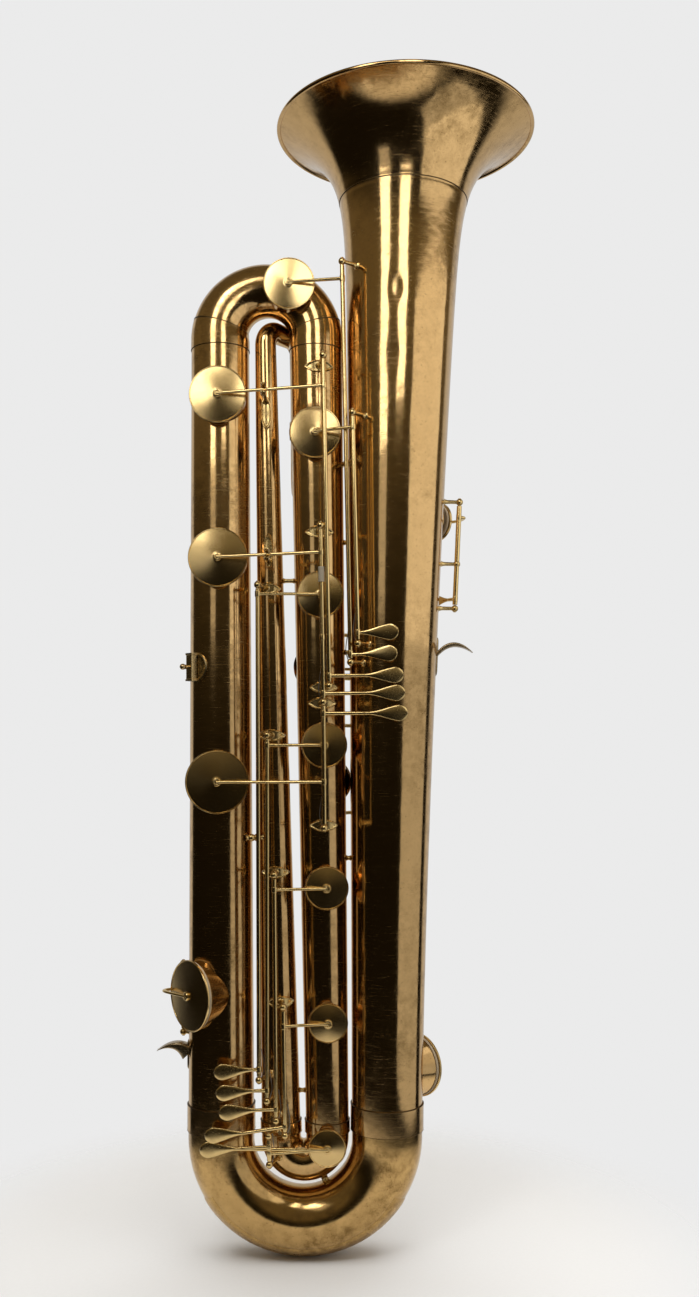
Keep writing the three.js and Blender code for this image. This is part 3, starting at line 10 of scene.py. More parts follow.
import bmesh
import bpy
import numpy as np
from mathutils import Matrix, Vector


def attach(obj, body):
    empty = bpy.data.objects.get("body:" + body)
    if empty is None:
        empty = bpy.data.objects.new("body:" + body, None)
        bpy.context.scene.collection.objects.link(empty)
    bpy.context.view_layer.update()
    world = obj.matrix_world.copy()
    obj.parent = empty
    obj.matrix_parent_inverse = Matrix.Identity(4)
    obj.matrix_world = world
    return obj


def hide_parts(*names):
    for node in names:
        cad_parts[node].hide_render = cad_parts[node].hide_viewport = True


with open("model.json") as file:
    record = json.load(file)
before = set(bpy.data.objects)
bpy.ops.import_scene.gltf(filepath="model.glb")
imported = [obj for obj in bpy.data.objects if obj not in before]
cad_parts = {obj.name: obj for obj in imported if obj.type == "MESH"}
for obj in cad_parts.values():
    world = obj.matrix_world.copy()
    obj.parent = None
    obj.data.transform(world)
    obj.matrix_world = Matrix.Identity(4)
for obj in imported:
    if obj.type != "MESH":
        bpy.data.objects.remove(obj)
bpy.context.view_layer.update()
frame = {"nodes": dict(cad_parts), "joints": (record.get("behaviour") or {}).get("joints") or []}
mm = 0.001

# The camera stands level with the lower right-hand touches, a little over a body length away,
# and keeps upright lines upright: the picture is shifted instead of the camera being tilted.
photo_height = 1297
focal_pixels = 1200
level_row = 745
sensor_width = 36
eye = np.array((51.4, -1363.6, 577.6))
camera_data = bpy.data.cameras.new("camera")
camera_data.sensor_width = sensor_width
camera_data.lens = focal_pixels / photo_height * sensor_width
camera_data.shift_y = (level_row - photo_height / 2) / photo_height
camera = bpy.data.objects.new("camera", camera_data)
camera.location = eye * mm
camera.rotation_euler = (math.pi / 2, 0, 0)
bpy.context.scene.collection.objects.link(camera)
bpy.context.scene.camera = camera
bpy.context.scene.view_settings.view_transform = "Standard"

# The floor: a sheet of pale paper under the bow, which keeps its shadow. It lies flat and fades
# out into the backdrop before its edge shows.
floor_half_width = 1500
floor_clear_radius, floor_fade_radius = 300, 560
paper_colour = (0.83, 0.83, 0.83, 1)


def new_material(name):
    """A node material with a Principled shader, its tree and that shader"""
    material = bpy.data.materials.new(name)
    material.use_nodes = True
    tree = material.node_tree
    return material, tree, tree.nodes["Principled BSDF"]


def add_node(tree, kind, links=(), out=0, **values):
    """A node's output. Links feed its sockets or set them, values set its settings or named sockets"""
    node = tree.nodes.new("ShaderNode" + kind)
    for key, value in values.items():
        if hasattr(node, key):
            setattr(node, key, value)
        else:
            node.inputs[key.replace("_", " ")].default_value = value
    for socket, source in dict(links).items():
        if isinstance(source, bpy.types.NodeSocket):
            tree.links.new(source, node.inputs[socket])
        else:
            node.inputs[socket].default_value = source
    return node.outputs[out]


def make_floor():
    """A flat sheet whose cover falls from whole at the object to nothing at its edge"""
    half = floor_half_width * mm
    mesh = bpy.data.meshes.new("floor")
    square = [(-half, -half, 0), (half, -half, 0), (half, half, 0), (-half, half, 0)]
    mesh.from_pydata(square, [], [(0, 1, 2, 3)])
    material, tree, shader = new_material("paper")
    place = add_node(tree, "TexCoord", out="Object")
    reach = add_node(tree, "VectorMath", {0: place}, "Value", operation="LENGTH")
    cover = add_node(tree, "MapRange", {"Value": reach}, interpolation_type="SMOOTHSTEP",
        From_Min=floor_clear_radius * mm, From_Max=floor_fade_radius * mm, To_Min=1, To_Max=0)
    fibre = add_node(tree, "TexNoise", {"Vector": place}, Scale=260, Detail=4)
    tone = add_node(tree, "MapRange", {"Value": fibre}, To_Min=0.80, To_Max=0.84)
    tree.links.new(tone, shader.inputs["Base Color"])
    tree.links.new(cover, shader.inputs["Alpha"])
    shader.inputs["Roughness"].default_value = 0.9
    mesh.materials.append(material)
    floor = bpy.data.objects.new("floor", mesh)
    bpy.context.scene.collection.objects.link(floor)


make_floor()

# The studio: a pale backdrop far behind the object, a room behind the camera that is dark below
# and dim above, tall soft strips at the front, white boards at the right, a panel at the upper left.
room_glow = [(-0.1, 0.010), (0.0, 0.014), (0.1, 0.035), (0.18, 0.07), (0.28, 0.155)]
room_tint = (1, 0.80, 0.45)
backdrop_glow = (0.62, 0.62, 0.62, 1)
backdrop_start, backdrop_full = 0.45, 0.6
softboxes = {
    "strip_left": dict(place=(-470, -880, 1560), aim=(-94, 0, 1560), size=(310, 900), glow=3.4),
    "strip_right": dict(place=(128, -716, 1560), aim=(60, 0, 1560), size=(208, 900), glow=3.4),
    "strip_left_low": dict(place=(-470, -880, 930), aim=(-94, 0, 930), size=(310, 300), glow=0.55),
    "board_upper": dict(place=(539, -272, 975), aim=(-427, -13, 975), size=(780, 550), glow=1.0),
    "board_lower": dict(place=(539, -272, 350), aim=(-427, -13, 350), size=(780, 700), glow=0.58),
    "panel_upper": dict(place=(-420, -1150, 1950), aim=(-60, 0, 700), size=(600, 420), glow=3.2),
}
top_light = dict(place=(0, 0, 2600), aim=(0, 0, 0), size=(3000, 3000), glow=2.4)


def make_world():
    """Rays to the back meet the backdrop, rays to the front the dark room; the camera sees paper"""
    world = bpy.data.worlds.new("studio")
    world.use_nodes = True
    bpy.context.scene.world = world
    tree = world.node_tree
    place = add_node(tree, "TexCoord", out="Generated")
    deep, level = (add_node(tree, "SeparateXYZ", {0: place}, axis) for axis in "YZ")
    back = add_node(tree, "MapRange", {"Value": deep}, interpolation_type="SMOOTHSTEP",
        From_Min=backdrop_start, From_Max=backdrop_full)
    low, high = room_glow[0][0], room_glow[-1][0]
    climb = add_node(tree, "MapRange", {"Value": level}, From_Min=low, From_Max=high)
    ramp = tree.nodes.new("ShaderNodeValToRGB")
    tree.links.new(climb, ramp.inputs["Fac"])
    stops = ramp.color_ramp.elements
    while len(stops) < len(room_glow):
        stops.new(0.5)
    for stop, (height, glow) in zip(stops, room_glow):
        stop.position = (height - low) / (high - low)
        stop.color = (*(glow * share for share in room_tint), 1)
    room = add_node(tree, "Mix", {"Factor": back, 6: ramp.outputs["Color"], 7: backdrop_glow}, 2,
        data_type="RGBA")
    camera_ray = add_node(tree, "LightPath", out="Is Camera Ray")
    seen = add_node(tree, "Mix", {"Factor": camera_ray, 6: room, 7: paper_colour}, 2, data_type="RGBA")
    tree.links.new(seen, tree.nodes["Background"].inputs["Color"])


def aimed(place, aim):
    """The turn that points a light from one place at another, upright"""
    return (Vector(aim) - Vector(place)).to_track_quat("-Z", "Y").to_euler()


def add_softbox(name, place, aim, size, glow, mirrored=True):
    """An even rectangular light. Its glow is the brightness of its face"""
    data = bpy.data.lights.new(name, "AREA")
    data.shape = "RECTANGLE"
    data.size, data.size_y = (length * mm for length in size)
    data.energy = glow * math.pi * data.size * data.size_y
    light = bpy.data.objects.new(name, data)
    light.location = [length * mm for length in place]
    light.rotation_euler = aimed(place, aim)
    light.visible_camera = False
    light.visible_glossy = mirrored
    bpy.context.scene.collection.objects.link(light)


make_world()
for name, box in softboxes.items():
    add_softbox(name, **box)
add_softbox("top_light", **top_light, mirrored=False)

# The bell: thin hammered sheet, opened into a rolled rim. Shallow dents show at its front, with
# round scratches from polishing and brown stains in the old surface.
spring_low, straight_run = 133.275, 903
bell_rise = 236.425
rim_height = spring_low + straight_run + bell_rise
bell_foot_height = spring_low + 24.3
bell_foot_x, bell_lean = 94, 20.5
bell_foot_radius, bell_swell, flare_reach, flare_length = 40, 28.5, 75, 34.5
sheet = 1
bead_radius = 2.3
bell_rows, bell_columns = 230, 192
bell_joint_height, bell_joint_depth, bell_joint_width = 1192, 0.4, 2.2
bell_dents = [
    dict(turn=-0.10, height=1075, width=7, length=13, depth=1.0),
    dict(turn=-0.16, height=1004, width=9, length=26, depth=0.5),
    dict(turn=0.45, height=930, width=12, length=30, depth=0.35),
    dict(turn=-0.5, height=1200, width=24, length=18, depth=0.5),
    dict(turn=0.75, height=1130, width=26, length=40, depth=0.45),
    dict(turn=0.2, height=520, width=14, length=40, depth=0.3),
]


def bell_tube(height):
    """The bell's axis and radius: a slow taper, with a flare that grows towards the rim"""
    climb = np.clip((height - spring_low) / (rim_height - spring_low), 0, None) ** 1.5
    flare = flare_reach * np.exp((height - rim_height) / flare_length)
    return bell_foot_x + bell_lean * climb, bell_foot_radius + bell_swell * climb + flare


def make_marks():
    """Marks of age that all the brass shares, measured in the object's own metres.

    Stain is broad soft clouds, mottle their fine broken edge, fleck small dark spots, scuff thin
    level scratches, grain the fine unevenness of old rubbed metal, and wave its slow dents."""
    tree = bpy.data.node_groups.new("brass_marks", "ShaderNodeTree")
    place = add_node(tree, "TexCoord", out="Object")

    def noise(scale, detail, roughness, low, high, vector=place):
        """A cloud cut off between a low and a high value"""
        cloud = add_node(tree, "TexNoise", {"Vector": vector}, Scale=scale, Detail=detail,
            Roughness=roughness)
        return add_node(tree, "MapRange", {"Value": cloud}, From_Min=low, From_Max=high)

    level = add_node(tree, "Mapping", {"Vector": place}, Scale=(40, 40, 1600))
    slant = add_node(tree, "Mapping", {"Vector": place}, Rotation=(0, 0.7, 0), Scale=(60, 60, 1300))
    marks = dict(
        Stain=noise(9, 5, 0.6, 0.42, 0.62), Mottle=noise(70, 8, 0.75, 0.40, 0.66),
        Fleck=noise(420, 3, 0.6, 0.63, 0.72),
        Scuff=add_node(tree, "Math", {0: noise(1, 3, 0.7, 0.56, 0.72, level),
                                      1: noise(1, 3, 0.7, 0.60, 0.74, slant)}, operation="MAXIMUM"),
        Grain=noise(900, 5, 0.7, 0.2, 0.8), Wave=noise(42, 2, 0.5, 0.25, 0.75),
    )
    out = tree.nodes.new("NodeGroupOutput")
    for name, mark in marks.items():
        tree.interface.new_socket(name, in_out="OUTPUT", socket_type="NodeSocketFloat")
        tree.links.new(mark, out.inputs[name])
    return tree


brass_marks = make_marks()
bump_depth = 0.05


def make_brass(name, bright, dull, polish, tarnish=0.6, grain=0.35, scuff=0.4, brushed=0, wave=0,
        spread=0.2, blur=0.16):
    """Aged brass: bright metal clouded by tarnish, rougher where it is dull or scratched"""
    material, tree, shader = new_material(name)
    group = tree.nodes.new("ShaderNodeGroup")
    group.node_tree = brass_marks
    marks = group.outputs

    def times_plus(value, factor, added):
        """The first times the second plus the third"""
        return add_node(tree, "Math", {0: value, 1: factor, 2: added}, operation="MULTIPLY_ADD")

    cloud = times_plus(marks["Stain"], marks["Mottle"], marks["Fleck"])
    patches = times_plus(marks["Mottle"], spread, cloud)
    amount = add_node(tree, "Math", {0: patches, 1: tarnish}, operation="MULTIPLY", use_clamp=True)
    colour = add_node(tree, "Mix", {"Factor": amount, 6: (*bright, 1), 7: (*dull, 1)}, 2, data_type="RGBA")
    rough = add_node(tree, "MapRange", {"Value": amount}, To_Min=polish, To_Max=polish + blur)
    height = 0
    for mark, depth in (("Grain", grain), ("Scuff", -scuff * grain), ("Wave", wave)):
        height = times_plus(marks[mark], depth, height)
    bump = add_node(tree, "Bump", {"Height": height}, Strength=1, Distance=bump_depth * mm)
    tree.links.new(colour, shader.inputs["Base Color"])
    tree.links.new(times_plus(marks["Scuff"], 0.2 * scuff, rough), shader.inputs["Roughness"])
    tree.links.new(bump, shader.inputs["Normal"])
    shader.inputs["Metallic"].default_value = 1
    if brushed:
        shader.inputs["Anisotropic"].default_value = brushed
        around = add_node(tree, "Tangent", direction_type="UV_MAP", uv_map="round")
        tree.links.new(around, shader.inputs["Tangent"])
    return material


tube_brass = make_brass("tube_brass", (0.65, 0.42, 0.18), (0.27, 0.16, 0.055), 0.09, tarnish=0.66,
    grain=0.12, scuff=0.8, wave=2.4, spread=0.25, blur=0.2)


def build(name, sheets, material, body="body", replaces=None, crease=38):
    """One object from sheets of points in rows and columns, joined where they meet"""
    points, faces, corners = [], [], []
    start = 0
    for grid in sheets:
        rows, columns = grid.shape[:2]
        index = np.arange(rows * columns).reshape(rows, columns) + start
        quads = np.stack([index[:-1, :-1], index[:-1, 1:], index[1:, 1:], index[1:, :-1]], axis=-1)
        around, along = np.meshgrid(np.linspace(0, 1, columns), np.linspace(0, 1, rows))
        spread = np.stack([around, along], axis=-1)
        uvs = np.stack([spread[:-1, :-1], spread[:-1, 1:], spread[1:, 1:], spread[1:, :-1]], axis=2)
        points.append(grid.reshape(-1, 3))
        faces.append(quads.reshape(-1, 4))
        corners.append(uvs.reshape(-1, 2))
        start += rows * columns
    mesh = bpy.data.meshes.new(name)
    mesh.from_pydata(np.concatenate(points) * mm, [], np.concatenate(faces).tolist())
    mesh.uv_layers.new(name="round").data.foreach_set("uv", np.concatenate(corners).ravel())
    work = bmesh.new()
    work.from_mesh(mesh)
    bmesh.ops.remove_doubles(work, verts=work.verts, dist=0.002 * mm)
    bmesh.ops.recalc_face_normals(work, faces=work.faces)
    work.to_mesh(mesh)
    work.free()
    mesh.shade_smooth()
    mesh.set_sharp_from_angle(angle=math.radians(crease))
    mesh.materials.append(material)
    piece = bpy.data.objects.new(name, mesh)
    bpy.context.scene.collection.objects.link(piece)
    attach(piece, body)
    if replaces:
        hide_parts(replaces)
    return piece


def squared_off(wave, power):
    """A wave raised to a power with its sign kept, which makes a round outline boxy or pointed"""
    return np.sign(wave) * np.abs(wave) ** power


def unit(vector):
    """The same direction at a length of one"""
    vector = np.asarray(vector, float)
    return vector / np.linalg.norm(vector, axis=-1, keepdims=True)


def bell_skin(grow):
    """The bell's surface from foot to rim, its rows closest at the flare, dents pressed in"""
    share = np.linspace(0, 1, bell_rows)
    height = bell_foot_height + (rim_height - bell_foot_height) * (1 - (1 - share) ** 1.7)
    turn = np.linspace(0, 2 * np.pi, bell_columns + 1)
    axis, radius = bell_tube(height)
    radius = np.repeat(radius[:, None] + grow, turn.size, axis=1)
    facing = (turn - np.pi / 2) % (2 * np.pi) - np.pi
    for dent in bell_dents:
        across = (facing - dent["turn"]) * radius / dent["width"]
        along = (height[:, None] - dent["height"]) / dent["length"]
        radius = radius - dent["depth"] * np.exp(-(across**2 + along**2))
    groove = (height[:, None] - bell_joint_height) / bell_joint_width
    radius = radius - bell_joint_depth * np.exp(-(groove**2))
    return np.stack([axis[:, None] + radius * np.cos(turn), radius * np.sin(turn),
        np.repeat(height[:, None], turn.size, axis=1)], axis=-1)


def bell_bead():
    """The rolled rim: a wire with the sheet turned over it"""
    axis, radius = bell_tube(rim_height)
    roll = np.linspace(-np.pi / 2, 1.5 * np.pi, 17)[:, None]
    turn = np.linspace(0, 2 * np.pi, bell_columns + 1)[None, :]
    reach = radius - bead_radius * 0.15 + bead_radius * np.cos(roll)
    return np.stack([axis + reach * np.cos(turn), reach * np.sin(turn),
        rim_height + bead_radius * np.sin(roll) + 0 * turn], axis=-1)


outer, inner = bell_skin(0), bell_skin(-sheet)
bell_shell = np.concatenate([outer, inner[::-1], outer[:1]])
build("bell_skin", [bell_shell, bell_bead()], tube_brass, replaces="bell")

# The big bow at the bottom and the three long tubes: drawn conical tube, the bow bent from two
# halves. The bow is worn rough and brown underneath, and a sheet guard is soldered round it.
bow_middle_x, bow_bend = 0, bell_foot_x
bow_swell = 2
lower_joint = spring_low + 24
tube_foot, small_foot = spring_low + 24.3, spring_low + 8.3
end_gap = 0.3
left_foot_radius, left_top_radius = 37.3, 32.6
middle_foot_x, middle_foot_radius, middle_top_radius = 26.4, 24.3, 30
narrow_foot_x, narrow_foot_radius, narrow_top_radius = -25.9, 22.3, 11.9


def taper(low, high):
    """A straight conical tube between two stations of height, axis and radius"""
    (low_z, low_x, low_radius), (high_z, high_x, high_radius) = low, high

    def at(height):
        share = (height - low_z) / (high_z - low_z)
        return low_x + (high_x - low_x) * share, low_radius + (high_radius - low_radius) * share

    return at


spring_high = spring_low + straight_run
narrow_top = spring_low + straight_run * 0.995
left_tube = taper((spring_low, -94, left_foot_radius), (spring_high, -95.2, left_top_radius))
middle_tube = taper((spring_low, middle_foot_x, middle_foot_radius), (spring_high, 13.0, middle_top_radius))
narrow_tube = taper((spring_low, narrow_foot_x, narrow_foot_radius), (narrow_top, -44.0, narrow_top_radius))
tubes = dict(bell=bell_tube, left=left_tube, middle=middle_tube, narrow=narrow_tube)


def rings(centres, across, depth, radii, sides=96):
    """Round rings at a row of centres, each in its own two directions"""
    turn = np.linspace(0, 2 * np.pi, sides + 1)[None, :, None]
    centres, across, depth = (np.asarray(a, float)[:, None, :] for a in (centres, across, depth))
    return centres + np.asarray(radii, float)[:, None, None] * (across * np.cos(turn) + depth * np.sin(turn))


def upright(tube, heights, grow, sides):
    """Level rings round a straight tube at a row of heights"""
    axis, radius = tube(heights)
    flat = np.zeros_like(heights)
    centres = np.stack([axis + flat, flat, heights], axis=1)
    across, depth = (np.tile(way, (len(heights), 1)) for way in ((1.0, 0, 0), (0, 1.0, 0)))
    return rings(centres, across, depth, radius + grow + flat, sides)


def straight_skin(tube, low, high, rows=90, grow=0, sides=96):
    """A stretch of a straight tube's skin"""
    return upright(tube, np.linspace(low, high, rows), grow, sides)


def bend_skin(middle, bend, start, end, radius_at, rows=72, grow=0, heading=0, sides=96):
    """A tube round a turn in an upright plane, from one angle to another"""
    share = np.linspace(0, 1, rows)
    angle = np.radians(start + (end - start) * share)[:, None]
    level = np.array((math.cos(heading), math.sin(heading), 0))
    across = level * np.cos(angle) + np.array((0, 0, 1.0)) * np.sin(angle)
    depth = np.tile((-math.sin(heading), math.cos(heading), 0), (rows, 1))
    return rings(np.asarray(middle) + across * bend, across, depth, radius_at(share) + grow, sides)


def shell(outer, thickness=sheet):
    """A tube's skin given an inner wall, so its ends show the sheet's thickness"""
    centre = outer[:, :-1].mean(axis=1, keepdims=True)
    spoke = outer - centre
    length = np.linalg.norm(spoke, axis=2, keepdims=True)
    inner = centre + spoke * (1 - thickness / length)
    return np.concatenate([outer, inner[::-1], outer[:1]])


def bow_radius(share):
    """The big bow's radius, which grows faster towards the bell"""
    return left_foot_radius + (bell_foot_radius - left_foot_radius) * share**bow_swell


def counted_back(grid):
    """The same rings, each counted the other way round from its far side, as a bend's left end is"""
    mirrored = grid[:, ::-1]
    half = mirrored.shape[1] // 2
    return np.concatenate([mirrored[:, half:-1], mirrored[:, :half + 1]], axis=1)


def big_bow():
    """The turn of the big bow with its two short legs, as one row of rings"""
    turn = bend_skin((bow_middle_x, 0, spring_low), bow_bend, 180, 360, bow_radius, 110)
    left_leg = counted_back(straight_skin(left_tube, lower_joint, spring_low, 6))
    right_leg = straight_skin(bell_tube, spring_low, lower_joint, 6)
    return np.concatenate([left_leg[:-1], turn, right_leg[1:]])


bow_brass = make_brass("bow_brass", (0.56, 0.36, 0.14), (0.23, 0.135, 0.045), 0.10, tarnish=0.8,
    grain=0.25, scuff=0.5, wave=2.6, spread=0.3, blur=0.16)
guard_brass = make_brass("guard_brass", (0.52, 0.33, 0.12), (0.20, 0.115, 0.04), 0.26, tarnish=0.9,
    grain=1.6, scuff=0.25, wave=3)
build("bottom_bow_skin", [shell(big_bow())], bow_brass, replaces="bottom_bow")
build("left_tube_skin", [shell(straight_skin(left_tube, tube_foot, spring_high - end_gap))], tube_brass,
    replaces="left_tube")
build("middle_tube_skin", [shell(straight_skin(middle_tube, small_foot, spring_high - end_gap))],
    tube_brass, replaces="middle_tube")
build("narrow_tube_skin", [shell(straight_skin(narrow_tube, small_foot, narrow_top - end_gap, sides=64))],
    tube_brass, replaces="narrow_tube")


guard_start, guard_end, guard_side = 210, 330, 54
guard_sheet, guard_edge = 1.3, 0.05


def guard_skin():
    """A strip round the outside of the bow's turn, its edges filed down to the bow"""
    rows, columns = 96, 48
    angle = np.radians(np.linspace(guard_start, guard_end, rows))[:, None]
    side = np.radians(np.linspace(-guard_side, guard_side, columns))[None, :]
    share = (np.degrees(angle) - 180) / 180
    edge = np.abs(np.linspace(-1, 1, columns))[None, :] ** 14
    tip = np.abs(np.linspace(-1, 1, rows))[:, None] ** 40
    filed = np.maximum(edge, tip)
    grow = guard_sheet * (1 - filed) + guard_edge * filed
    radius = bow_radius(share) + grow
    reach = bow_bend + radius * np.cos(side)
    return np.stack([reach * np.cos(angle), radius * np.sin(side) + 0 * angle,
        spring_low + reach * np.sin(angle)], axis=-1)


build("bow_guard_sheet", [guard_skin()], guard_brass, replaces="bow_guard")

# The small bow inside the big one, with a socket on each leg, and the top bow with its sleeves.
# Both are bent from drawn tube and soldered to the tubes that they join.
small_bow_x, small_bow_bend = 0.25, 26.15
top_bow_x, top_bow_bend = -41.1, 54.1
socket_low, socket_top = spring_low + 7, spring_low + 20
sleeve_grow, sleeve_drop = 0.55, 12
sleeve_thickness, socket_thickness = 1.4, 1.3
sleeve_low, sleeve_high = spring_low + 9.5, spring_low + 38.5


def small_bow_radius(share):
    """The small bow's radius, even from the middle to the narrow tube"""
    return middle_foot_radius + (narrow_foot_radius - middle_foot_radius) * share


def small_bow_skin():
    """The small bow's turn with its two short legs, as one row of rings"""
    turn = bend_skin((small_bow_x, 0, spring_low), small_bow_bend, 0, -180, small_bow_radius, 64)
    right = straight_skin(middle_tube, small_foot - end_gap, spring_low, 4)
    left = counted_back(straight_skin(narrow_tube, spring_low, small_foot - end_gap, 4))
    return np.concatenate([right[:-1], turn, left[1:]])


def collar_skin(tube, low, high, thickness, sides=96):
    """A sleeve round a straight tube with softened edges"""
    heights = np.array([low, low, low + 0.3, high - 0.3, high, high])
    grows = np.array([-0.5, thickness * 0.6, thickness, thickness, thickness * 0.6, -0.5])
    return upright(tube, heights, grows, sides)


sockets = [collar_skin(tube, socket_low, socket_top, socket_thickness)
    for tube in (middle_tube, narrow_tube)]
build("small_bow_skin", [shell(small_bow_skin()), *sockets], tube_brass, replaces="small_bow")


def top_bow_pinch(share):
    """How much thinner the crown was pulled, while its outer edge kept its place"""
    return 2.3 * np.sin(np.pi * share)


def top_bow_radius(share):
    """The top bow's radius: even from leg to leg, less the pinch"""
    return left_top_radius + (middle_top_radius - left_top_radius) * share - top_bow_pinch(share)


def top_bow_skin(start=180, end=0, grow=0, rows=90):
    """A stretch of the top bow between two angles"""
    low, high = (180 - start) / 180, (180 - end) / 180
    bend = top_bow_bend + top_bow_pinch(low + (high - low) * np.linspace(0, 1, rows))[:, None]
    return bend_skin((top_bow_x, 0, spring_high), bend, start, end,
        lambda share: top_bow_radius(low + (high - low) * share), rows, grow)


def top_sleeve(on_left):
    """The sleeve at one foot of the top bow: a straight stretch and the start of the turn"""
    tube = left_tube if on_left else middle_tube
    start, end = (180, 165) if on_left else (0, 15)
    turn = top_bow_skin(start, end, sleeve_grow, 8)
    straight = straight_skin(tube, spring_high - sleeve_drop, spring_high, 5, sleeve_grow)
    outer = np.concatenate([(counted_back(straight) if on_left else straight)[:-1], turn])
    return shell(outer, sleeve_grow + 0.4)


build("top_bow_skin", [shell(top_bow_skin())], tube_brass, replaces="top_bow")
for side in ("left", "middle"):
    build(f"top_{side}_sleeve", [top_sleeve(side == "left")], tube_brass,
        replaces=f"top_{side}_ferrule")
ferrule_brass = make_brass("ferrule_brass", (0.63, 0.41, 0.18), (0.26, 0.155, 0.06), 0.11, tarnish=0.7,
    grain=0.2, wave=1.5)
for side in ("bell", "left"):
    build(f"{side}_sleeve", [collar_skin(tubes[side], sleeve_low, sleeve_high, sleeve_thickness)],
        ferrule_brass, replaces=f"{side}_ferrule")

# A thin dark line is painted round the end of every sleeve and socket, and in the groove where the
# bell was joined to its tube: partly old solder and grime, partly painted shade in the corner where
# the sleeve meets the tube and down in the groove.
dark_line_half_height, dark_line_grow = 0.5, 0.15
grime_and_shade = make_brass("joint_grime_and_shade", (0.12, 0.075, 0.03), (0.04, 0.025, 0.012), 0.45, tarnish=0.8)
joints = [
    (bell_tube, sleeve_thickness, (sleeve_low, sleeve_high)),
    (left_tube, sleeve_thickness, (sleeve_low, sleeve_high)),
    (middle_tube, socket_thickness, (socket_low, socket_top)),
    (narrow_tube, socket_thickness, (socket_low, socket_top)),
    (left_tube, sleeve_grow, (spring_high - sleeve_drop,)),
    (middle_tube, sleeve_grow, (spring_high - sleeve_drop,)),
    (bell_tube, 0, (bell_joint_height,)),
]
dark_line_rings = []
for tube, thickness, heights in joints:
    for height in heights:
        dark_line_rings.append(collar_skin(tube, height - dark_line_half_height, height + dark_line_half_height,
            thickness + dark_line_grow))
for turn in (165, 15):
    dark_line_rings.append(top_bow_skin(turn + 0.6, turn - 0.6, sleeve_grow + dark_line_grow, 4))
build("joint_lines", dark_line_rings, grime_and_shade)

# The narrow end: over a small bend, down behind the middle tube and up into the crook's receiver,
# a heavy turned socket with a wing screw.
bend_span, bend_turn, bend_heading = 59, 18, math.radians(51)
bend_taper = 0.18
back_foot_radius, back_top_radius = 10.6, 11.3
back_x, back_y = -6.87, 45.85
back_low, back_high = narrow_top - 135, narrow_top - 0.3
receiver_y = 82.85
collar_radius, bore_radius = 14, 8.6
screw_height, boss_reach, boss_radius = narrow_top - 76, 102.85, 4.6


def turned(profile, foot, direction, sides=40):
    """A lathe-turned shape on an axis. The profile lists radius and height from the foot"""
    profile = np.asarray(profile, float)
    axis = unit(direction)
    guide = np.array((0, 0, 1.0)) if abs(axis[2]) < 0.9 else np.array((1.0, 0, 0))
    across = unit(np.cross(axis, guide))
    depth = np.cross(axis, across)
    centres = np.asarray(foot, float) + profile[:, 1:2] * axis
    count = len(profile)
    return rings(centres, np.tile(across, (count, 1)), np.tile(depth, (count, 1)), profile[:, 0], sides)


def eased(corners, softness=0.5, steps=4):
    """An outline whose corners are each replaced by a short curve"""
    corners = np.asarray(corners, float)
    points = [corners[:1]]
    share = np.linspace(0, 1, steps + 1)[:, None]
    for before, corner, after in zip(corners, corners[1:], corners[2:]):
        back, ahead = np.linalg.norm(before - corner), np.linalg.norm(after - corner)
        first = corner + (before - corner) * min(softness / max(back, 1e-6), 0.45)
        last = corner + (after - corner) * min(softness / max(ahead, 1e-6), 0.45)
        points.append((1 - share) ** 2 * first + 2 * share * (1 - share) * corner + share**2 * last)
    points.append(corners[-1:])
    return np.concatenate(points)


narrow_x = narrow_tube(narrow_top)[0]
bend_level = np.array((math.cos(bend_heading), math.sin(bend_heading), 0))
bend_foot = np.array((narrow_x, 0, narrow_top))
rise = bend_skin(bend_foot + bend_level * bend_turn, bend_turn, 180, 90,
    lambda s: narrow_top_radius - bend_taper * s, 20, heading=bend_heading, sides=48)
fall = bend_skin(bend_foot + bend_level * (bend_span - bend_turn), bend_turn, 90, 0,
    lambda s: 11.48 - bend_taper * s, 20, heading=bend_heading, sides=48)
build("top_bend_skin", [shell(np.concatenate([rise, fall]))], tube_brass, replaces="top_bend")
back_profile = eased([(back_foot_radius, 0), (back_top_radius, back_high - back_low)], 0)
build("back_tube_skin", [shell(turned(back_profile, (back_x, back_y, back_low), (0, 0, 1), 48))],
    tube_brass, replaces="back_tube")
receiver_span = receiver_y - back_y
build("receiver_bow_skin", [shell(bend_skin((back_x, back_y + receiver_span / 2, back_low - 0.3),
    receiver_span / 2, 180, 360, lambda s: back_foot_radius + 0 * s, 32, heading=math.pi / 2, sides=48))],
    tube_brass, replaces="receiver_bow")
fitting_brass = make_brass("fitting_brass", (0.60, 0.45, 0.22), (0.28, 0.19, 0.08), 0.2, tarnish=0.55,
    grain=0.12)
receiver_profile = eased([(bore_radius, 0), (10.6, 0), (11.3, 46), (12.4, 47), (12.4, 48),
    (collar_radius, 48.5), (collar_radius, 68.5), (13.2, 70), (bore_radius, 70), (bore_radius, 0)], 0.4)
receiver = turned(receiver_profile, (back_x, receiver_y, back_low), (0, 0, 1), 48)
boss = turned(eased([(0, 0), (boss_radius, 0), (boss_radius, 18.6), (2.6, 20), (2.6, 18), (0, 18)], 0.4),
    (back_x, receiver_y, screw_height), (0, 1, 0))
build("crook_receiver_body", [receiver, boss], fitting_brass,
    replaces="crook_receiver")


def wing_plate():
    """The wing of the crook's screw: a flat waisted plate with round ends"""
    turn = np.linspace(0, 2 * np.pi, 49)
    wide = 8 * np.cos(turn)
    long = 5 * np.sin(turn) * (0.72 + 0.28 * np.abs(np.cos(turn)))
    rim = []
    for share, lift in ((0, 1.5), (0.9, 1.5), (1, 1.0), (1, -1.0), (0.9, -1.5), (0, -1.5)):
        rim.append(np.stack([back_x + wide * share, boss_reach + 5.3 + long * share,
            screw_height + lift + 0 * turn], axis=1))
    return np.array(rim)


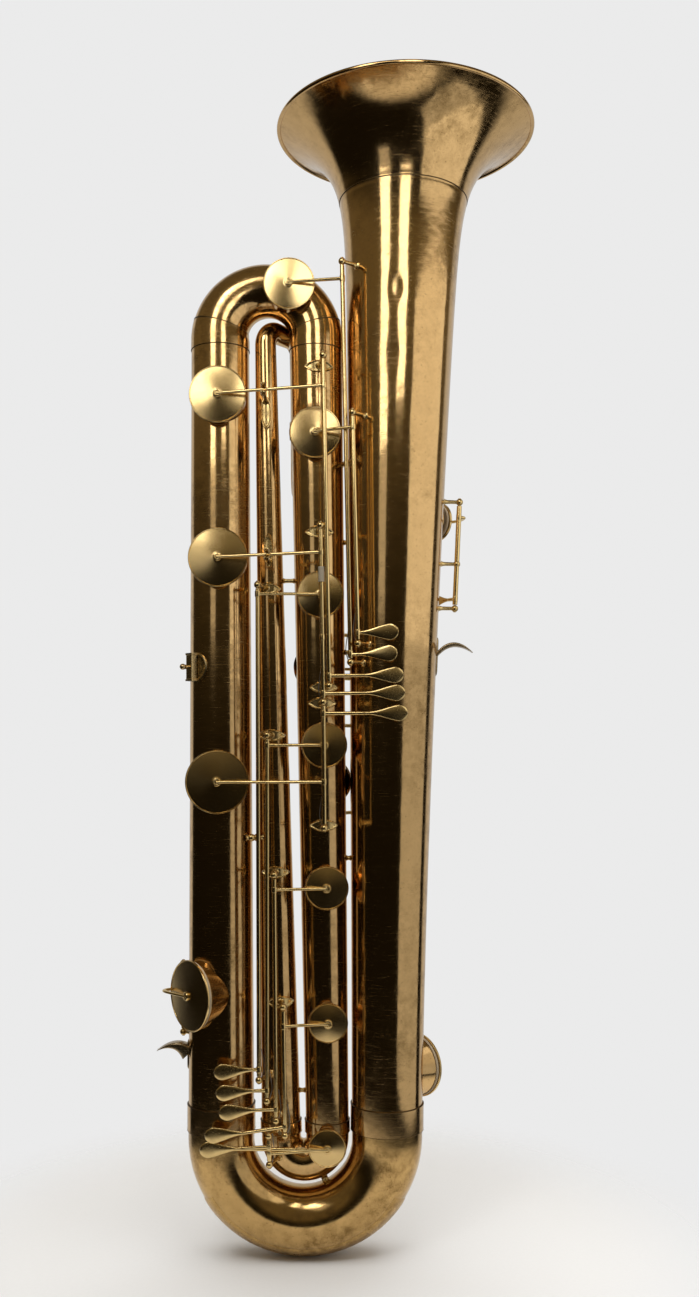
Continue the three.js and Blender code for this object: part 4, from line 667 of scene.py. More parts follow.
screw_brass = make_brass("screw_brass", (0.64, 0.47, 0.24), (0.34, 0.22, 0.1), 0.22, tarnish=0.4)
shank = turned(eased([(0, 0), (2.2, 0), (2.2, 12), (0, 12)], 0.3), (back_x, 92, screw_height), (0, 1, 0))
build("crook_wing_screw", [wing_plate(), shank], screw_brass, body="crook_screw",
    replaces="crook_screw")

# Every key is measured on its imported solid, so that the finer brass lies where the solid does:
# the ends of its rod, its cup, and the tip of its touch.
rod_radius, ball_radius, ball_gap = 2.2, 4, 0.3
cup_margin = 1.5
hinges = {joint["name"]: joint for joint in frame["joints"]}


def solid_points(name):
    """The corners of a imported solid, in millimetres"""
    vertices = frame["nodes"][name].data.vertices
    flat = np.empty(len(vertices) * 3, np.float32)
    vertices.foreach_get("co", flat)
    return flat.reshape(-1, 3).astype(float) / mm


def read_key(name):
    """One key's own places: rod ends, cup centre, radius and facing, and where its touch lies"""
    joint = hinges[f"key_{name}_hinge"]
    origin, axis = np.array(joint["pos_m"]) / mm, unit(joint["axis"])
    points = solid_points(f"key_{name}")
    along = (points - origin) @ axis
    away = np.linalg.norm(points - origin - along[:, None] * axis, axis=1)
    rod = along[away < rod_radius * 1.06]
    pad = solid_points(f"pad_{name}")
    pad_middle = (pad.min(axis=0) + pad.max(axis=0)) / 2
    facing = np.linalg.svd(pad - pad.mean(axis=0), full_matrices=False)[2][2]
    near = points[np.linalg.norm(points - pad_middle, axis=1) < np.ptp(pad[:, 2]) * 0.55]
    facing = facing * np.sign((near.mean(axis=0) - pad_middle) @ facing)
    radius = np.ptp(pad[:, 2]) / 2 + cup_margin
    base = pad_middle + facing * 1.9
    cup_along = (base - origin) @ axis
    loose = (np.abs(along - cup_along) > 7) & (away > 5)
    loose &= np.linalg.norm(points - base, axis=1) > radius + 4
    touch, tip_away = points[loose], away[loose]
    return SimpleNamespace(
        axis=axis, foot=origin + axis * rod.min(), top=origin + axis * rod.max(), cup=base, radius=radius,
        facing=facing, cup_root=origin + axis * cup_along,
        tip=touch[tip_away > tip_away.max() - 1.5].mean(axis=0),
    )


front_names = ["top_bow", "left_upper", "left_middle", "left_lower", "middle_1", "middle_2", "middle_3",
    "middle_4", "middle_5", "small_bow"]
side_names = ["left_side", "bell_low", "back_lower", "back_upper", "bell_high"]
keys = {name: read_key(name) for name in front_names + side_names}

# Chimneys: short rings soldered over the tone holes, with a bead of solder at the tube. The dark
# floors inside them and the dark inner walls of the funnels are painted shade, and the pads close on
# their rims.
chimney_inset = 3
pad_thickness, pad_gap = 3.2, 0.3
# The dark insides of the holes are painted shade, not a colour of the brass.
painted_hole_shade = make_brass("painted_hole_shade", (0.10, 0.065, 0.03), (0.03, 0.02, 0.01), 0.5, tarnish=0.9)
chimney_tubes = dict(dict.fromkeys(keys, "middle"), small_bow="small", left_upper="left",
    left_middle="left", left_lower="left")


def small_leg(height):
    """The left leg of the small bow, below its spring line"""
    drop = np.clip(spring_low - height, 0, small_bow_bend)
    lean = small_bow_bend - np.sqrt(small_bow_bend**2 - drop**2)
    return narrow_foot_x + lean, narrow_foot_radius + 0 * drop


def chimney_skin(key, tube_middle, tube_line, tube_radius, rim_distance):
    """A ring square to its cup, its foot following the round of the tube it stands on"""
    turn = np.linspace(0, 2 * np.pi, 65)
    facing = key.facing
    side = unit(np.cross(tube_line, facing))
    up = np.cross(facing, side)
    rim = key.cup - facing * (pad_thickness + 2 * pad_gap)
    radius = key.radius - chimney_inset
    slide = (rim - tube_middle) @ side
    rows = []
    for spread, lift, on_tube in ((-1, 0.8, True), (-1, 0, False), (-0.6, -0.35, False), (0, 0, False),
            (0, 0.8, True), (0.5, 0.2, True), (1.3, -0.2, True), (1.6, -1.2, True)):
        reach = radius + spread
        across = slide + reach * np.cos(turn)
        skin = np.sqrt(np.clip(tube_radius**2 - across**2, 1, None)) - rim_distance
        depth = (np.minimum(skin, -0.2) if on_tube else 0 * turn) + lift
        rows.append(rim + np.outer(reach * np.cos(turn), side) + np.outer(reach * np.sin(turn), up)
            + np.outer(depth, facing))
    return np.array(rows)


def funnel_skins(key, taper_share, length):
    """A cone that widens out of the tube to its cup, and its inner wall, dark with painted shade"""
    rim = key.cup - key.facing * (pad_thickness + 2 * pad_gap)
    radius = key.radius - chimney_inset
    outside = eased([(radius - taper_share * length, -length), (radius - 0.5, -1.6), (radius, -0.8),
        (radius, 0), (radius - 1, 0)], 0.3)
    inside = [(radius - 1, 0), (radius - 1 - taper_share * length, -length), (0, -length)]
    return turned(outside, rim, key.facing, 72), turned(inside, rim, key.facing, 72)


def pressed(key, angle):
    """The key's cup at the far end of its travel: place and facing turned about its rod"""
    axis = key.axis
    moved = SimpleNamespace(**vars(key))
    for part, centre in (("cup", key.foot), ("facing", 0 * axis)):
        arm = getattr(key, part) - centre
        setattr(moved, part, centre + arm * math.cos(angle) + np.cross(axis, arm) * math.sin(angle)
            + axis * (axis @ arm) * (1 - math.cos(angle)))
    return moved


bell_high_travel = math.radians(8)
funnels = dict(left_side=(0.33, 60), bell_low=(0.3, 30), bell_high=(0, 30))
top_share = 0.645
top_angle = math.radians(180 * (1 - top_share))
top_line = np.array((-math.sin(top_angle), 0, math.cos(top_angle)))
top_seat = top_bow_bend + float(top_bow_pinch(top_share))
top_middle = np.array((top_bow_x + top_seat * math.cos(top_angle), 0,
    spring_high + top_seat * math.sin(top_angle)))
tubes["small"] = taper((0, middle_foot_x, middle_foot_radius - 0.1),
    (1, middle_foot_x, middle_foot_radius - 0.1))
chimneys, hollows = [], []
for name, key in keys.items():
    if name in funnels:
        outside, inside = funnel_skins(pressed(key, bell_high_travel) if name == "bell_high" else key,
            *funnels[name])
        chimneys.append(outside)
        hollows.append(inside)
        continue
    rim = key.cup - key.facing * (pad_thickness + 2 * pad_gap)
    if name == "top_bow":
        middle, line, radius = top_middle, top_line, float(top_bow_radius(top_share))
    else:
        axis, radius = tubes[chimney_tubes[name]](key.cup[2])
        middle, line = np.array((axis, 0, key.cup[2])), np.array((0, 0, 1.0))
    distance = abs((rim - middle) @ key.facing)
    chimneys.append(chimney_skin(key, middle, line, radius, distance))
    hollow = rim - key.facing * min(2.5, distance - radius + 2.0)
    hollows.append(turned([(key.radius - chimney_inset - 0.9, 0.2), (0, 0)], hollow, key.facing, 48))
build("chimney_rings", chimneys, tube_brass)
build("tone_holes", hollows, painted_hole_shade)

# Posts: turned pillars soldered to the tubes, with a drilled ball that holds the screw of a rod.
# Some stand on saddles, pointed oval plates bent round the tube.
post_waist, post_foot = 2.1, 4.4
saddle_half_width, saddle_half_height, saddle_sheet = 17, 6.8, 1.6
post_brass = make_brass("post_brass", (0.70, 0.51, 0.22), (0.30, 0.20, 0.07), 0.22, tarnish=0.7,
    grain=0.1, scuff=0.2)


def post_skin(tube, top):
    """A pillar from the tube's skin to its ball, square to the tube's axis"""
    axis_x, skin = tube(top[2])
    axis = np.array((float(axis_x), 0, top[2]))
    outward = top - axis
    length = float(np.linalg.norm(outward) - skin)
    foot = axis + unit(outward) * float(skin)
    flare = min(5, length * 0.4)
    turn = np.radians(np.linspace(-58, 90, 16))
    ball = [(ball_radius * math.cos(a), length + ball_radius * math.sin(a)) for a in turn]
    profile = [(post_foot, -1.2), (post_foot, 0.8), (post_foot - 0.7, 1.3), (post_waist + 0.9, 1.9),
        (post_waist + 0.15, flare), (post_waist, length - ball_radius * 0.95)]
    return turned(np.array(eased(profile, 0.5).tolist() + ball), foot, outward, 28)


def plate_on(tube, height, outward, outline, lift, rows=14):
    """A thin plate bent round a tube. Its outline gives across and up for each step of a turn"""
    axis_x, skin = tube(height)
    share = np.concatenate([np.linspace(0, 0.9, rows), (0.95, 0.985, 1, 1)])[:, None]
    across, up = (values[None, :] * share for values in outline)
    thickness = lift(share, across, up)
    thickness[-1] = -0.4
    turn = math.atan2(outward[1], outward[0]) + across / skin
    centre_x, radius = tube(height + up)
    reach = radius + thickness
    return np.stack([centre_x + reach * np.cos(turn), reach * np.sin(turn), height + up], axis=-1)


def eye_outline(half_width, half_height, count=72):
    """A pointed oval: two shallow arcs that meet at the sides"""
    turn = np.linspace(0, 2 * np.pi, count + 1)
    across = half_width * np.cos(turn)
    return across, half_height * np.sign(np.sin(turn)) * (1 - np.cos(turn) ** 2) ** 0.8


def rolled_lift(edge, middle):
    """A plate whose edge stands up as a round bead"""
    def lift(share, across, up):
        bead = np.exp(-(((share - 0.88) / 0.08) ** 2))
        return np.where(share < 0.99, middle + (edge - middle) * bead, 0.1) * np.ones_like(across)

    return lift


def flat_lift(sheet_height):
    """A plate of one thickness that falls off steeply at its edge"""
    return lambda share, across, up: sheet_height * np.clip(1 - share**14, 0, 1) * np.ones_like(across)


def post_tops(key):
    """Where the balls of a key's two posts stand, just beyond the rod's ends"""
    reach = ball_radius + ball_gap
    return key.top + key.axis * reach, key.foot - key.axis * reach


on_bell = ("bell", "bell", False, False)
on_middle = ("middle", "middle", True, True)
on_narrow = ("narrow", "narrow", True, False)
post_rules = dict(
    top_bow=on_bell, left_upper=on_middle, left_middle=on_middle, left_lower=on_middle, middle_1=on_bell,
    middle_2=on_narrow, middle_3=on_narrow, middle_4=on_narrow,
    middle_5=("narrow", "small_leg", True, False),
    small_bow=("small_leg", "small_leg", False, False), left_side=("left", "left", False, False),
    bell_low=on_bell, back_lower=("middle", "middle", False, False),
    back_upper=("middle", "middle", False, False), bell_high=on_bell,
)
mid_posts = {"bell_low": 472.4, "bell_high": 784.6}
tubes["small_leg"] = small_leg
posts, saddles, pivots = [], [], []


def pivot_screw(place, direction):
    """The slotted head of a rod's pivot screw, on the outer side of a post's ball"""
    profile = eased([(0, ball_radius - 0.6), (1.7, ball_radius - 0.6), (1.7, ball_radius + 0.25),
        (0, ball_radius + 0.35)], 0.25)
    return turned(profile, place, direction, 20)


for name, (top_tube, foot_tube, top_saddle, foot_saddle) in post_rules.items():
    key = keys[name]
    top, foot = post_tops(key)
    for place, carrier, with_saddle, way in ((top, top_tube, top_saddle, 1),
            (foot, foot_tube, foot_saddle, -1)):
        if name == "left_middle" and way < 0:
            continue
        posts.append(post_skin(tubes[carrier], place))
        pivots.append(pivot_screw(place, key.axis * way))
        if with_saddle:
            tube = tubes[carrier]
            outward = place - np.array((float(tube(place[2])[0]), 0, place[2]))
            saddles.append(plate_on(tube, place[2], outward, eye_outline(saddle_half_width,
                saddle_half_height), rolled_lift(saddle_sheet + 0.7, saddle_sheet - 0.6), rows=20))
    if name in mid_posts:
        share = (mid_posts[name] - foot[2]) / (top[2] - foot[2])
        posts.append(post_skin(bell_tube, foot + (top - foot) * share))
build("posts", posts, post_brass)
build("pivot_screws", pivots, screw_brass)
build("saddles", saddles, post_brass)

# Keys: a rod with two soldered collars, a round arm to a turned cup, and a spoon-shaped touch on a
# slim neck. The cups are turned dishes with a rolled edge and a screw at the middle.
collar_radius_key, collar_length, third_collar_height = 3.1, 10, 694
arm_radius, arm_tip_radius, bar_radii = 2.2, 1.9, (2.4, 2.2)
cup_rim, cup_rise, cup_boss_radius, cup_boss_height = 2.2, 3.4, 4.2, 1.8
touch_size, thumb_size = (37, 8.8), (25, 7.5)
key_brass = make_brass("key_brass", (0.76, 0.56, 0.25), (0.38, 0.25, 0.09), 0.2, tarnish=0.4, grain=0.06,
    scuff=0.2)
cup_brass = make_brass("cup_brass", (0.70, 0.50, 0.22), (0.38, 0.25, 0.10), 0.18, tarnish=0.4, grain=0.04,
    scuff=0.2, brushed=0.6, spread=0.05, blur=0.1)


def swept(path, across_radius, depth_radius, depth_axis, sides=20, squared=1.0):
    """A bar along a path, oval where its two radii differ and boxy where it is squared, ends closed"""
    path = np.asarray(path, float)
    tangent = unit(np.gradient(path, axis=0))
    side = unit(np.cross(tangent, np.asarray(depth_axis, float)))
    depth = np.cross(side, tangent)
    turn = np.linspace(0, 2 * np.pi, sides + 1)[None, :, None]
    wide = np.broadcast_to(across_radius, len(path))[:, None, None]
    deep = np.broadcast_to(depth_radius, len(path))[:, None, None]
    over, out = squared_off(np.cos(turn), squared), squared_off(np.sin(turn), squared)
    grid = path[:, None, :] + wide * side[:, None, :] * over + deep * depth[:, None, :] * out
    ends = [np.repeat(path[k][None, None, :], sides + 1, axis=1) for k in (0, -1)]
    return np.concatenate([ends[0], grid, ends[1]])


def curve_through(points, count=28):
    """A smooth path through a few points"""
    points = np.asarray(points, float)
    padded = np.concatenate([2 * points[:1] - points[1:2], points, 2 * points[-1:] - points[-2:-1]])
    spans = len(points) - 1
    place = np.linspace(0, spans, count)
    span = np.minimum(place.astype(int), spans - 1)
    t = (place - span)[:, None]
    a, b, c, d = (padded[span + k] for k in range(4))
    return 0.5 * (2 * b + (c - a) * t + (2 * a - 5 * b + 4 * c - d) * t**2 + (3 * b - a - 3 * c + d) * t**3)


def cup_skin(key):
    """The dish: a thin rolled edge, a shallow crown that rises to the middle, and a low boss"""
    radius, top = key.radius, cup_rim + cup_rise
    profile = [(0, 0), (radius - 0.4, 0), (radius, 0.4), (radius + 0.15, cup_rim - 0.5),
        (radius, cup_rim + 0.3), (radius - 0.4, cup_rim + 0.7), (radius - 0.9, cup_rim + 0.75),
        (radius - 1.3, cup_rim + 0.4), (radius - 1.5, cup_rim + 0.1)]
    inner, start = cup_boss_radius + 1.4, radius - 1.5
    for s in np.linspace(0, 1, 20)[1:]:
        crown = (cup_rise - 0.7) * (1.25 * s - 0.25 * s * s)
        profile.append((start + (inner - start) * s, cup_rim + 0.1 + crown))
    profile += [(cup_boss_radius + 0.4, top - 0.35), (cup_boss_radius + 0.3, top + 0.3),
        (cup_boss_radius - 0.4, top + 0.9), (0, top + 1.0)]
    return turned(profile, key.cup, key.facing, 96)


def spoon_skin(root, start, tip, half_width, facing, droop=0):
    """A neck that swells slowly into a long pear-shaped spoon, domed on its front"""
    early = 0.16
    start = start - (tip - start) * early
    heading = unit(tip - start)
    length = np.linalg.norm(tip - start)
    share = np.linspace(0, 1, 60)
    swell = np.clip(share / 0.78, 0, 1)
    neck_width = arm_tip_radius
    width = neck_width + (half_width - neck_width) * swell**1.9 * (2.2 - 1.2 * swell)
    close = np.clip((share - 0.76) / 0.24, 0, 1)
    width = np.minimum(width, half_width) * np.sqrt(np.clip(1 - close**2.1, 0.0004, 1))
    along = share * length
    path = start + heading * along[:, None]
    path = path - np.array((0, 0, droop)) * (share**2)[:, None]
    neck = np.linspace(0, 1, 10)[:-1, None] * (start - root) + root
    neck_radius = np.linspace(arm_radius, arm_tip_radius + 0.1, len(neck))
    across = np.concatenate([neck_radius, width])
    thick = np.concatenate([neck_radius, 1.7 - 0.5 * np.clip(share / 0.5, 0, 1)])
    thick = np.minimum(thick, across + 0.1)
    whole = np.concatenate([neck, path])
    dome = np.concatenate([0 * neck_radius, 0.7 * np.sin(np.pi * share)])
    return swept(whole + dome[:, None] * facing, across, thick, facing, 32)


def make_key(name):
    """All the brass of one key in its closed place, and its cup as a piece of its own"""
    key = keys[name]
    axis, facing = key.axis, key.facing
    length = float(np.linalg.norm(key.top - key.foot))
    stout = rod_radius + (0.7 if name == "bell_high" else 0.3)
    rod = turned(eased([(0, 0), (stout, 0), (stout, length), (0, length)], 0.3), key.foot, axis, 24)
    sheets = [rod]
    is_front = name in front_names
    spoon_length, half_width = touch_size if is_front else thumb_size
    tip_along = float((key.tip - key.foot) @ axis)
    root_along = tip_along + (5.2 if name == "middle_5" else 0)
    root = key.foot + axis * root_along
    cup_along = float((key.cup_root - key.foot) @ axis)
    collars = [cup_along, root_along]
    if name == "left_middle":
        collars.append(float(third_collar_height - key.foot[2]))
    for place in collars:
        low = np.clip(place - collar_length / 2, 0.1, length - collar_length - 0.1)
        profile = eased([(rod_radius - 0.3, 1.5), (collar_radius_key, 1.8),
            (collar_radius_key, collar_length - 1.8), (rod_radius - 0.3, collar_length - 1.5)], 0.6)
        sheets.append(turned(profile, key.foot + axis * low, axis, 24))
    arm_end = key.cup + facing * (cup_rim + cup_rise + cup_boss_height * 0.5)
    if name in ("left_side", "bell_high"):
        side = unit(key.cup_root - key.cup - facing * ((key.cup_root - key.cup) @ facing))
        over = key.cup + facing * (cup_rim + cup_rise + 2 * arm_radius)
        knee = key.cup_root + facing * ((over - key.cup_root) @ facing) * 0.5
        path = curve_through([key.cup_root, knee, over + side * (key.radius + 1), arm_end], 30)
    else:
        path = np.linspace(0, 1, 12)[:, None] * (arm_end - key.cup_root) + key.cup_root
    radii = np.linspace(arm_radius, arm_tip_radius, len(path))
    sheets.append(swept(path, radii, radii * 0.85, axis, 20))
    eye = turned(eased([(0, -2.1), (4.4, -2.1), (4.9, -1.3), (4.9, 0.5), (4.2, 1.5), (2.8, 1.9),
        (2.3, 1.2), (1.3, 1.2), (1.2, 1.7), (0, 1.8)], 0.3), arm_end, facing, 32)
    sheets.append(eye)
    reach = key.tip - root
    heading = unit(reach - axis * (reach @ axis))
    start = key.tip - heading * spoon_length
    crown = facing if is_front else unit(np.cross(axis, heading))
    droop = 2.5 if name in ("middle_2", "middle_3", "middle_4", "middle_5") else 0
    if name == "small_bow":
        bar = np.linspace(0, 1, 12)[:, None] * (start - arm_end) + arm_end
        sheets.append(swept(bar, *bar_radii, axis, 20))
    sheets.append(spoon_skin(root, start, key.tip, half_width, crown, droop))
    body = f"key_{name}"
    build(f"{body}_brass", sheets, key_brass, body=body, replaces=body)
    build(f"cup_{name}", [cup_skin(key)], cup_brass, body=body)


for name in keys:
    make_key(name)

# A pale thread, wound turn beside turn round one long rod of the left tube's keys, where its
# bearing was packed.
thread, _, thread_shader = new_material("thread")
thread_shader.inputs["Base Color"].default_value = (0.42, 0.36, 0.27, 1)
thread_shader.inputs["Roughness"].default_value = 0.9
wrap_low, wrap_turns, wrap_pitch = 754, 26, 0.62


def thread_skin(key):
    """The wound thread: one low ridge for each turn"""
    share = np.linspace(0, 1, wrap_turns * 8 + 1)
    ridge = rod_radius + 0.9 + 0.22 * np.abs(np.sin(np.pi * share * wrap_turns))
    ridge[[0, -1]] = rod_radius
    profile = np.stack([ridge, share * wrap_turns * wrap_pitch], axis=1)
    along = (wrap_low - key.foot[2]) / key.axis[2]
    return turned(profile, key.foot + key.axis * along, key.axis, 24)


build("thread_wrap", [thread_skin(keys["left_middle"])], thread, body="key_left_middle")

# Needle springs: thin blued steel wires, each fixed in the foot post of a front key and bowed
# upwards along its rod.
spring_steel, _, steel_shader = new_material("spring_steel")
steel_shader.inputs["Base Color"].default_value = (0.24, 0.22, 0.21, 1)
steel_shader.inputs["Metallic"].default_value = 1
steel_shader.inputs["Roughness"].default_value = 0.35
springs = []
for name in front_names:
    top, foot = post_tops(keys[name])
    side = np.array((-1.0 if keys[name].tip[0] > foot[0] else 1.0, 0, 0))
    bow = [foot + side * 2.5 + (0, 1.5, 1.5), foot + side * 5.2 + (0, 1.5, 14),
        foot + side * 2.8 + (0, 1.0, 34)]
    springs.append(swept(curve_through(bow, 16), 0.5, 0.5, (0, 1, 0), 8))
build("needle_springs", springs, spring_steel)

# Guides: on the narrow tube a fork holds each long arm of the left tube's keys. It stands on a long
# oval plate with a rolled edge, soldered down the tube.
guide_half_length, guide_half_width = 19, 5
fork_prong, fork_clear = 1.0, 1.3
guide_sides = {"left_upper": -1, "left_middle": 1}
guides = []
for name, way in guide_sides.items():
    key = keys[name]
    height = key.cup[2]
    axis_x, skin = (float(value) for value in narrow_tube(height))
    arm_end = key.cup + key.facing * (cup_rim + cup_rise + cup_boss_height * 0.5)
    share = (key.cup_root[0] - axis_x) / (key.cup_root[0] - arm_end[0])
    arm = key.cup_root + (arm_end - key.cup_root) * share
    turn = np.linspace(0, 2 * np.pi, 81)
    loop = guide_half_width * np.cos(turn), guide_half_length * squared_off(np.sin(turn), 0.75)
    guides.append(plate_on(narrow_tube, height + way * (guide_half_length - 6.5), (0, -1, 0), loop,
        rolled_lift(2.3, 0.5), rows=22))
    back = arm + (0, 5, 0)
    guides.append(turned(eased([(3.6, -1), (3.4, 1), (2.0, 4), (1.9, abs(back[1]) - skin)], 0.8),
        (axis_x, -skin, height), (0, -1, 0), 24))
    half_slot = arm_radius + fork_clear
    for side in (-1, 1):
        prong = [back + (0, 0.5, side * (half_slot + 0.3)), arm + (0, 0, side * (half_slot + fork_prong)),
            arm + (0, -8, side * (half_slot + fork_prong)),
            arm + (0, -9, side * (half_slot + fork_prong * 1.2))]
        guides.append(swept(curve_through(prong, 20), fork_prong, 2.8, (1, 0, 0), 16, 0.6))
    guides.append(swept([back + (0, 0, -half_slot - 1.6), back + (0, 0, half_slot + 1.6)], 1.4, 3.0,
        (1, 0, 0), 16, 0.6))
build("arm_guides", guides, post_brass)

# Stays: short turned bars between neighbouring tubes, with a flared foot at each end. Two of them
# stand at the front with a pair of balls, and a stout one ties the bows together.
stay_radius, stay_ball_radius = 2.6, 4.4
bow_stay_turn, bow_stay_radius = math.radians(-64), 4
small_bow_seat, big_bow_seat = 23, 38
back_stay_drop = 108
level_stays = {
    "stay_narrow_middle_upper": (0.6985, "narrow", "middle"),
    "stay_narrow_middle_lower": (0.058, "narrow", "middle"),
    "stay_middle_bell_upper": (0.7467, "middle", "bell"),
    "stay_middle_bell_middle": (0.6085, "middle", "bell"),
    "stay_middle_bell_lower": (0.35, "middle", "bell"),
}
front_stays = {
    "stay_left_narrow": (0.377, "left", "narrow", 0.62, -0.5, (0.34, 0.66)),
    "stay_middle_bell_front": (0.8425, "middle", "bell", 0.8, -0.55, (0.3, 0.7)),
}


def stay_skin(start, end, radius, balls=()):
    """A turned bar with a flared foot at each end, and round beads where balls are asked for"""
    start, end = np.asarray(start, float), np.asarray(end, float)
    length = float(np.linalg.norm(end - start))
    along = np.linspace(0, length, 90)
    near = np.minimum(along, length - along)
    wide = radius * (0.9 + 0.5 * np.exp(-near / 1.2))
    for share in balls:
        reach = np.abs(along - share * length)
        wide = np.maximum(wide, np.sqrt(np.clip(stay_ball_radius**2 - reach**2, 0, None)))
    profile = [(0, 0), *zip(wide, along), (0, length)]
    return turned(profile, start, end - start, 28)


def on_skin(tube, height, turn_share):
    """A point on a tube's front, turned from the viewer by a share of a quarter turn"""
    axis_x, radius = (float(value) for value in tube(height))
    angle = math.pi / 2 * turn_share
    return axis_x + (radius - 0.2) * math.sin(angle), -(radius - 0.2) * math.cos(angle), height


for name, (share, left_name, right_name) in level_stays.items():
    height = spring_low + straight_run * share
    build(f"{name}_bar", [stay_skin(on_skin(tubes[left_name], height, 1),
        on_skin(tubes[right_name], height, -1), stay_radius)], post_brass,
        replaces=name)
for name, (share, left_name, right_name, left_turn, right_turn, balls) in front_stays.items():
    height = spring_low + straight_run * share
    start, end = on_skin(tubes[left_name], height, left_turn), on_skin(tubes[right_name], height, right_turn)
    build(f"{name}_bar", [stay_skin(start, end, stay_radius, balls)], post_brass,
        replaces=name)
slant = np.array((math.cos(bow_stay_turn), 0, math.sin(bow_stay_turn)))
small_middle, big_middle = np.array((small_bow_x, 0, spring_low)), np.array((bow_middle_x, 0, spring_low))
bow_stay = stay_skin(small_middle + slant * (small_bow_bend + small_bow_seat),
    big_middle + slant * (bow_bend - big_bow_seat), bow_stay_radius)
build("stay_bows_bar", [bow_stay], post_brass, replaces="stay_bows")
back_height = narrow_top - back_stay_drop
middle_x, middle_radius = (float(value) for value in middle_tube(back_height))
towards = unit(np.array((middle_x - back_x, -back_y, 0)))
reach = math.hypot(middle_x - back_x, back_y)
back_point = np.array((back_x, back_y, back_height))
back_ends = back_point + towards * back_foot_radius, back_point + towards * (reach - middle_radius + 0.2)
build("stay_back_bar", [stay_skin(*back_ends, stay_radius)], post_brass,
    replaces="stay_back_middle")

# Thumb rests: crescents filed from thick plate, on oblong foot plates soldered to the bell's body
# and to the left tube. They are worn dark where the thumbs lie.
rest_brass = make_brass("rest_brass", (0.42, 0.32, 0.19), (0.14, 0.10, 0.055), 0.26, tarnish=0.8, grain=0.12)
rest_half_depth, rest_foot_half_width, rest_foot_sheet = 8, 7, 1.6
rest_feet = dict(right_thumb_rest=22, left_thumb_rest=17)
rests = {
    "right_thumb_rest": dict(tube=bell_tube, share=0.603, side=1, reach=41, upper=(3.6, 28.8),
        lower=(-0.4, 19.5), tip=4.7),
    "left_thumb_rest": dict(tube=left_tube, share=0.104, side=-1, reach=36, upper=(11.0, 20.6),
        lower=(-9.3, 13.7), tip=3.8),
}


def rest_blade(tube, share, side, reach, upper, lower, tip):
    """The crescent between two curves that spring from the foot and meet at the tip"""
    height = spring_low + straight_run * share
    axis_x, skin = (float(value) for value in tube(height))
    t = np.linspace(0, 1, 40)
    out = 2 * t * (1 - t) * 0.42 * reach + t * t * reach
    tops, unders = ((1 - t) ** 2 * root + 2 * t * (1 - t) * crown + t * t * tip
        for root, crown in (upper, lower))
    path = np.stack([axis_x + side * (skin + out), 0 * t, height + (tops + unders) / 2], axis=1)
    thick = np.maximum((tops - unders) / 2 * 0.92, 0.15)
    deep = rest_half_depth * (1 - 0.35 * t**3)
    return swept(path, thick, deep, (0, 1, 0), 32, 0.45)


def rest_foot(tube, share, side, foot):
    """The oblong foot plate, bent round the tube"""
    height = spring_low + straight_run * share
    turn = np.linspace(0, 2 * np.pi, 81)
    outline = [half * squared_off(wave(turn), 0.45)
        for half, wave in ((rest_foot_half_width, np.cos), (foot, np.sin))]
    return plate_on(tube, height, (side, 0, 0), outline, flat_lift(rest_foot_sheet))


for name, rest in rests.items():
    foot = rest_foot(rest["tube"], rest["share"], rest["side"], rest_feet[name])
    build(f"{name}_plate", [rest_blade(**rest), foot], rest_brass, replaces=name)

# The lyre's holder on the left tube: a round foot plate, a square box with a lip at its top and
# bottom, and a ball-headed screw that clamps the lyre's flat shank.
lyre_height, lyre_turn = 664.24, math.radians(-47)
lyre_disc_radius, lyre_box_reach, lyre_screw_reach = 17, 5.9, 9.4
lyre_x, lyre_skin = (float(value) for value in left_tube(lyre_height))
lyre_out = np.array((math.sin(lyre_turn), -math.cos(lyre_turn), 0))
lyre_side = np.array((math.cos(lyre_turn), math.sin(lyre_turn), 0))
disc_turn = np.linspace(0, 2 * np.pi, 81)
lyre_disc = plate_on(left_tube, lyre_height, lyre_out, (lyre_disc_radius * np.cos(disc_turn),
    lyre_disc_radius * np.sin(disc_turn)), rolled_lift(1.9, 1.3), rows=24)


def lyre_box():
    """The box's four walls, lipped at both ends, with the slot through it"""
    middle = np.array((lyre_x, 0, lyre_height)) + lyre_out * (lyre_skin + lyre_box_reach)
    turn = np.linspace(0, 2 * np.pi, 49)
    over, out = squared_off(np.cos(turn), 0.25), squared_off(np.sin(turn), 0.25)
    rows = []
    for wide, deep, rise in ((6, 5.1, -15.5), (6, 5.1, -13.6), (5.2, 4.5, -13.1), (5.2, 4.5, 13.1),
            (6, 5.1, 13.6), (6, 5.1, 15.5), (4.2, 3.4, 15.5), (4.2, 3.4, -15.5), (6, 5.1, -15.5)):
        outline = np.outer(over * wide, lyre_side) + np.outer(out * deep, lyre_out)
        rows.append(middle + outline + (0, 0, rise))
    return np.array(rows)


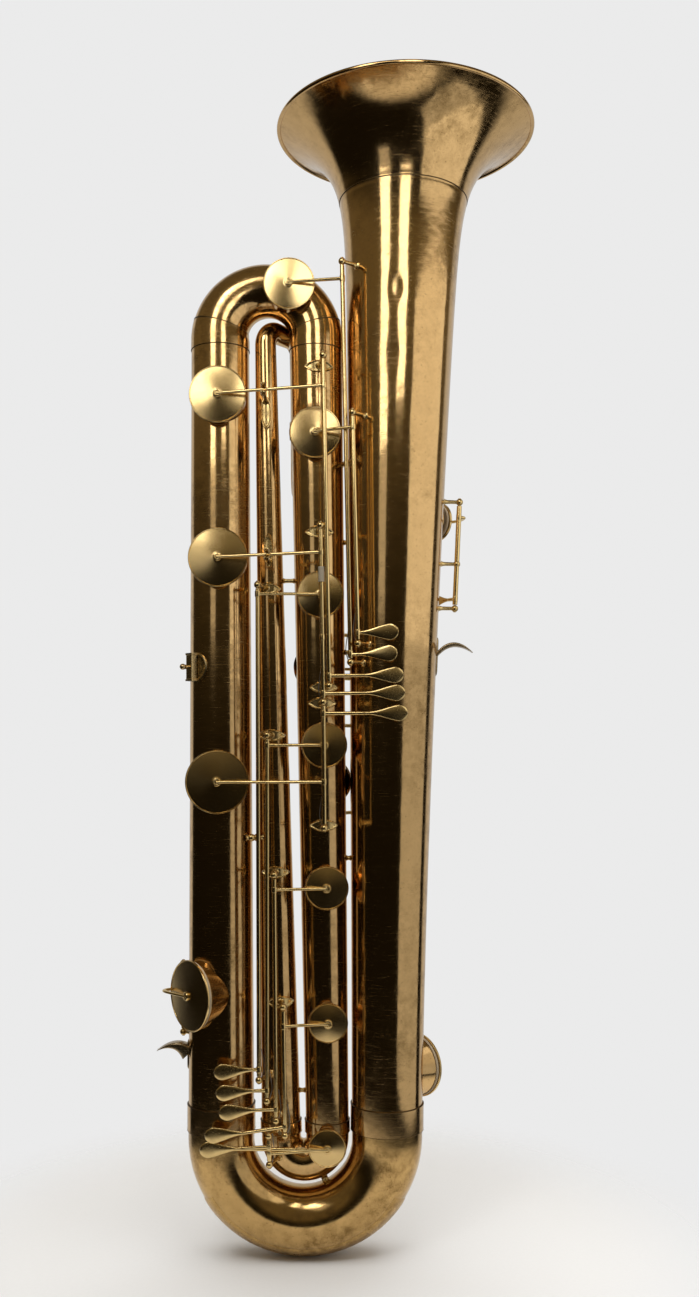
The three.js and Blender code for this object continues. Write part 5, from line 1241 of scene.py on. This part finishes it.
build("lyre_holder", [lyre_disc, lyre_box()], fitting_brass, replaces="lyre_socket")
ball_turn = np.radians(np.linspace(-60, 90, 16))
screw_profile = [(0, 0), (1.8, 0), (1.8, 4.2), (2.6, 4.4), (2.6, 5.4), (1.8, 5.6)]
screw_profile += [(3.4 * math.cos(a), 8.6 + 3.4 * math.sin(a)) for a in ball_turn]
screw_foot = np.array((lyre_x, 0, lyre_height)) + lyre_out * (lyre_skin + lyre_screw_reach)
lyre_screw = turned(screw_profile, screw_foot, lyre_out, 28)
build("lyre_ball_screw", [lyre_screw], screw_brass, body="lyre_screw",
    replaces="lyre_screw")

# Pads: pale kid leather over felt, one in each cup. They are flat, with a soft edge and a groove
# where the chimney's rim presses.
pad_leather, leather_tree, leather_shader = new_material("pad_leather")
leather_place = add_node(leather_tree, "TexCoord", out="Object")
leather_grain = add_node(leather_tree, "TexVoronoi", {"Vector": leather_place}, Scale=1400)
leather_cloud = add_node(leather_tree, "TexNoise", {"Vector": leather_place}, Scale=60, Detail=5)
leather_tone = add_node(leather_tree, "Mix", {"Factor": leather_cloud, 6: (0.52, 0.43, 0.30, 1),
    7: (0.36, 0.27, 0.17, 1)}, 2, data_type="RGBA")
leather_bump = add_node(leather_tree, "Bump", {"Height": leather_grain}, Strength=0.3, Distance=0.1 * mm)
leather_tree.links.new(leather_tone, leather_shader.inputs["Base Color"])
leather_tree.links.new(leather_bump, leather_shader.inputs["Normal"])
leather_shader.inputs["Roughness"].default_value = 0.72


def pad_skin(key):
    """A disc with soft edges, its face pressed in where it meets the rim"""
    radius, press = key.radius - cup_margin, key.radius - chimney_inset - 0.5
    profile = eased([(0, 0), (radius - 0.6, 0), (radius, -0.8), (radius, -2.4),
        (radius - 0.8, -pad_thickness), (press + 0.9, -pad_thickness), (press, -pad_thickness + 0.25),
        (press - 1.2, -pad_thickness + 0.02), (0, -pad_thickness)], 0.4)
    return turned(profile, key.cup - key.facing * pad_gap, key.facing, 64)


for name, key in keys.items():
    build(f"leather_{name}", [pad_skin(key)], pad_leather, body=f"key_{name}",
        replaces=f"pad_{name}")
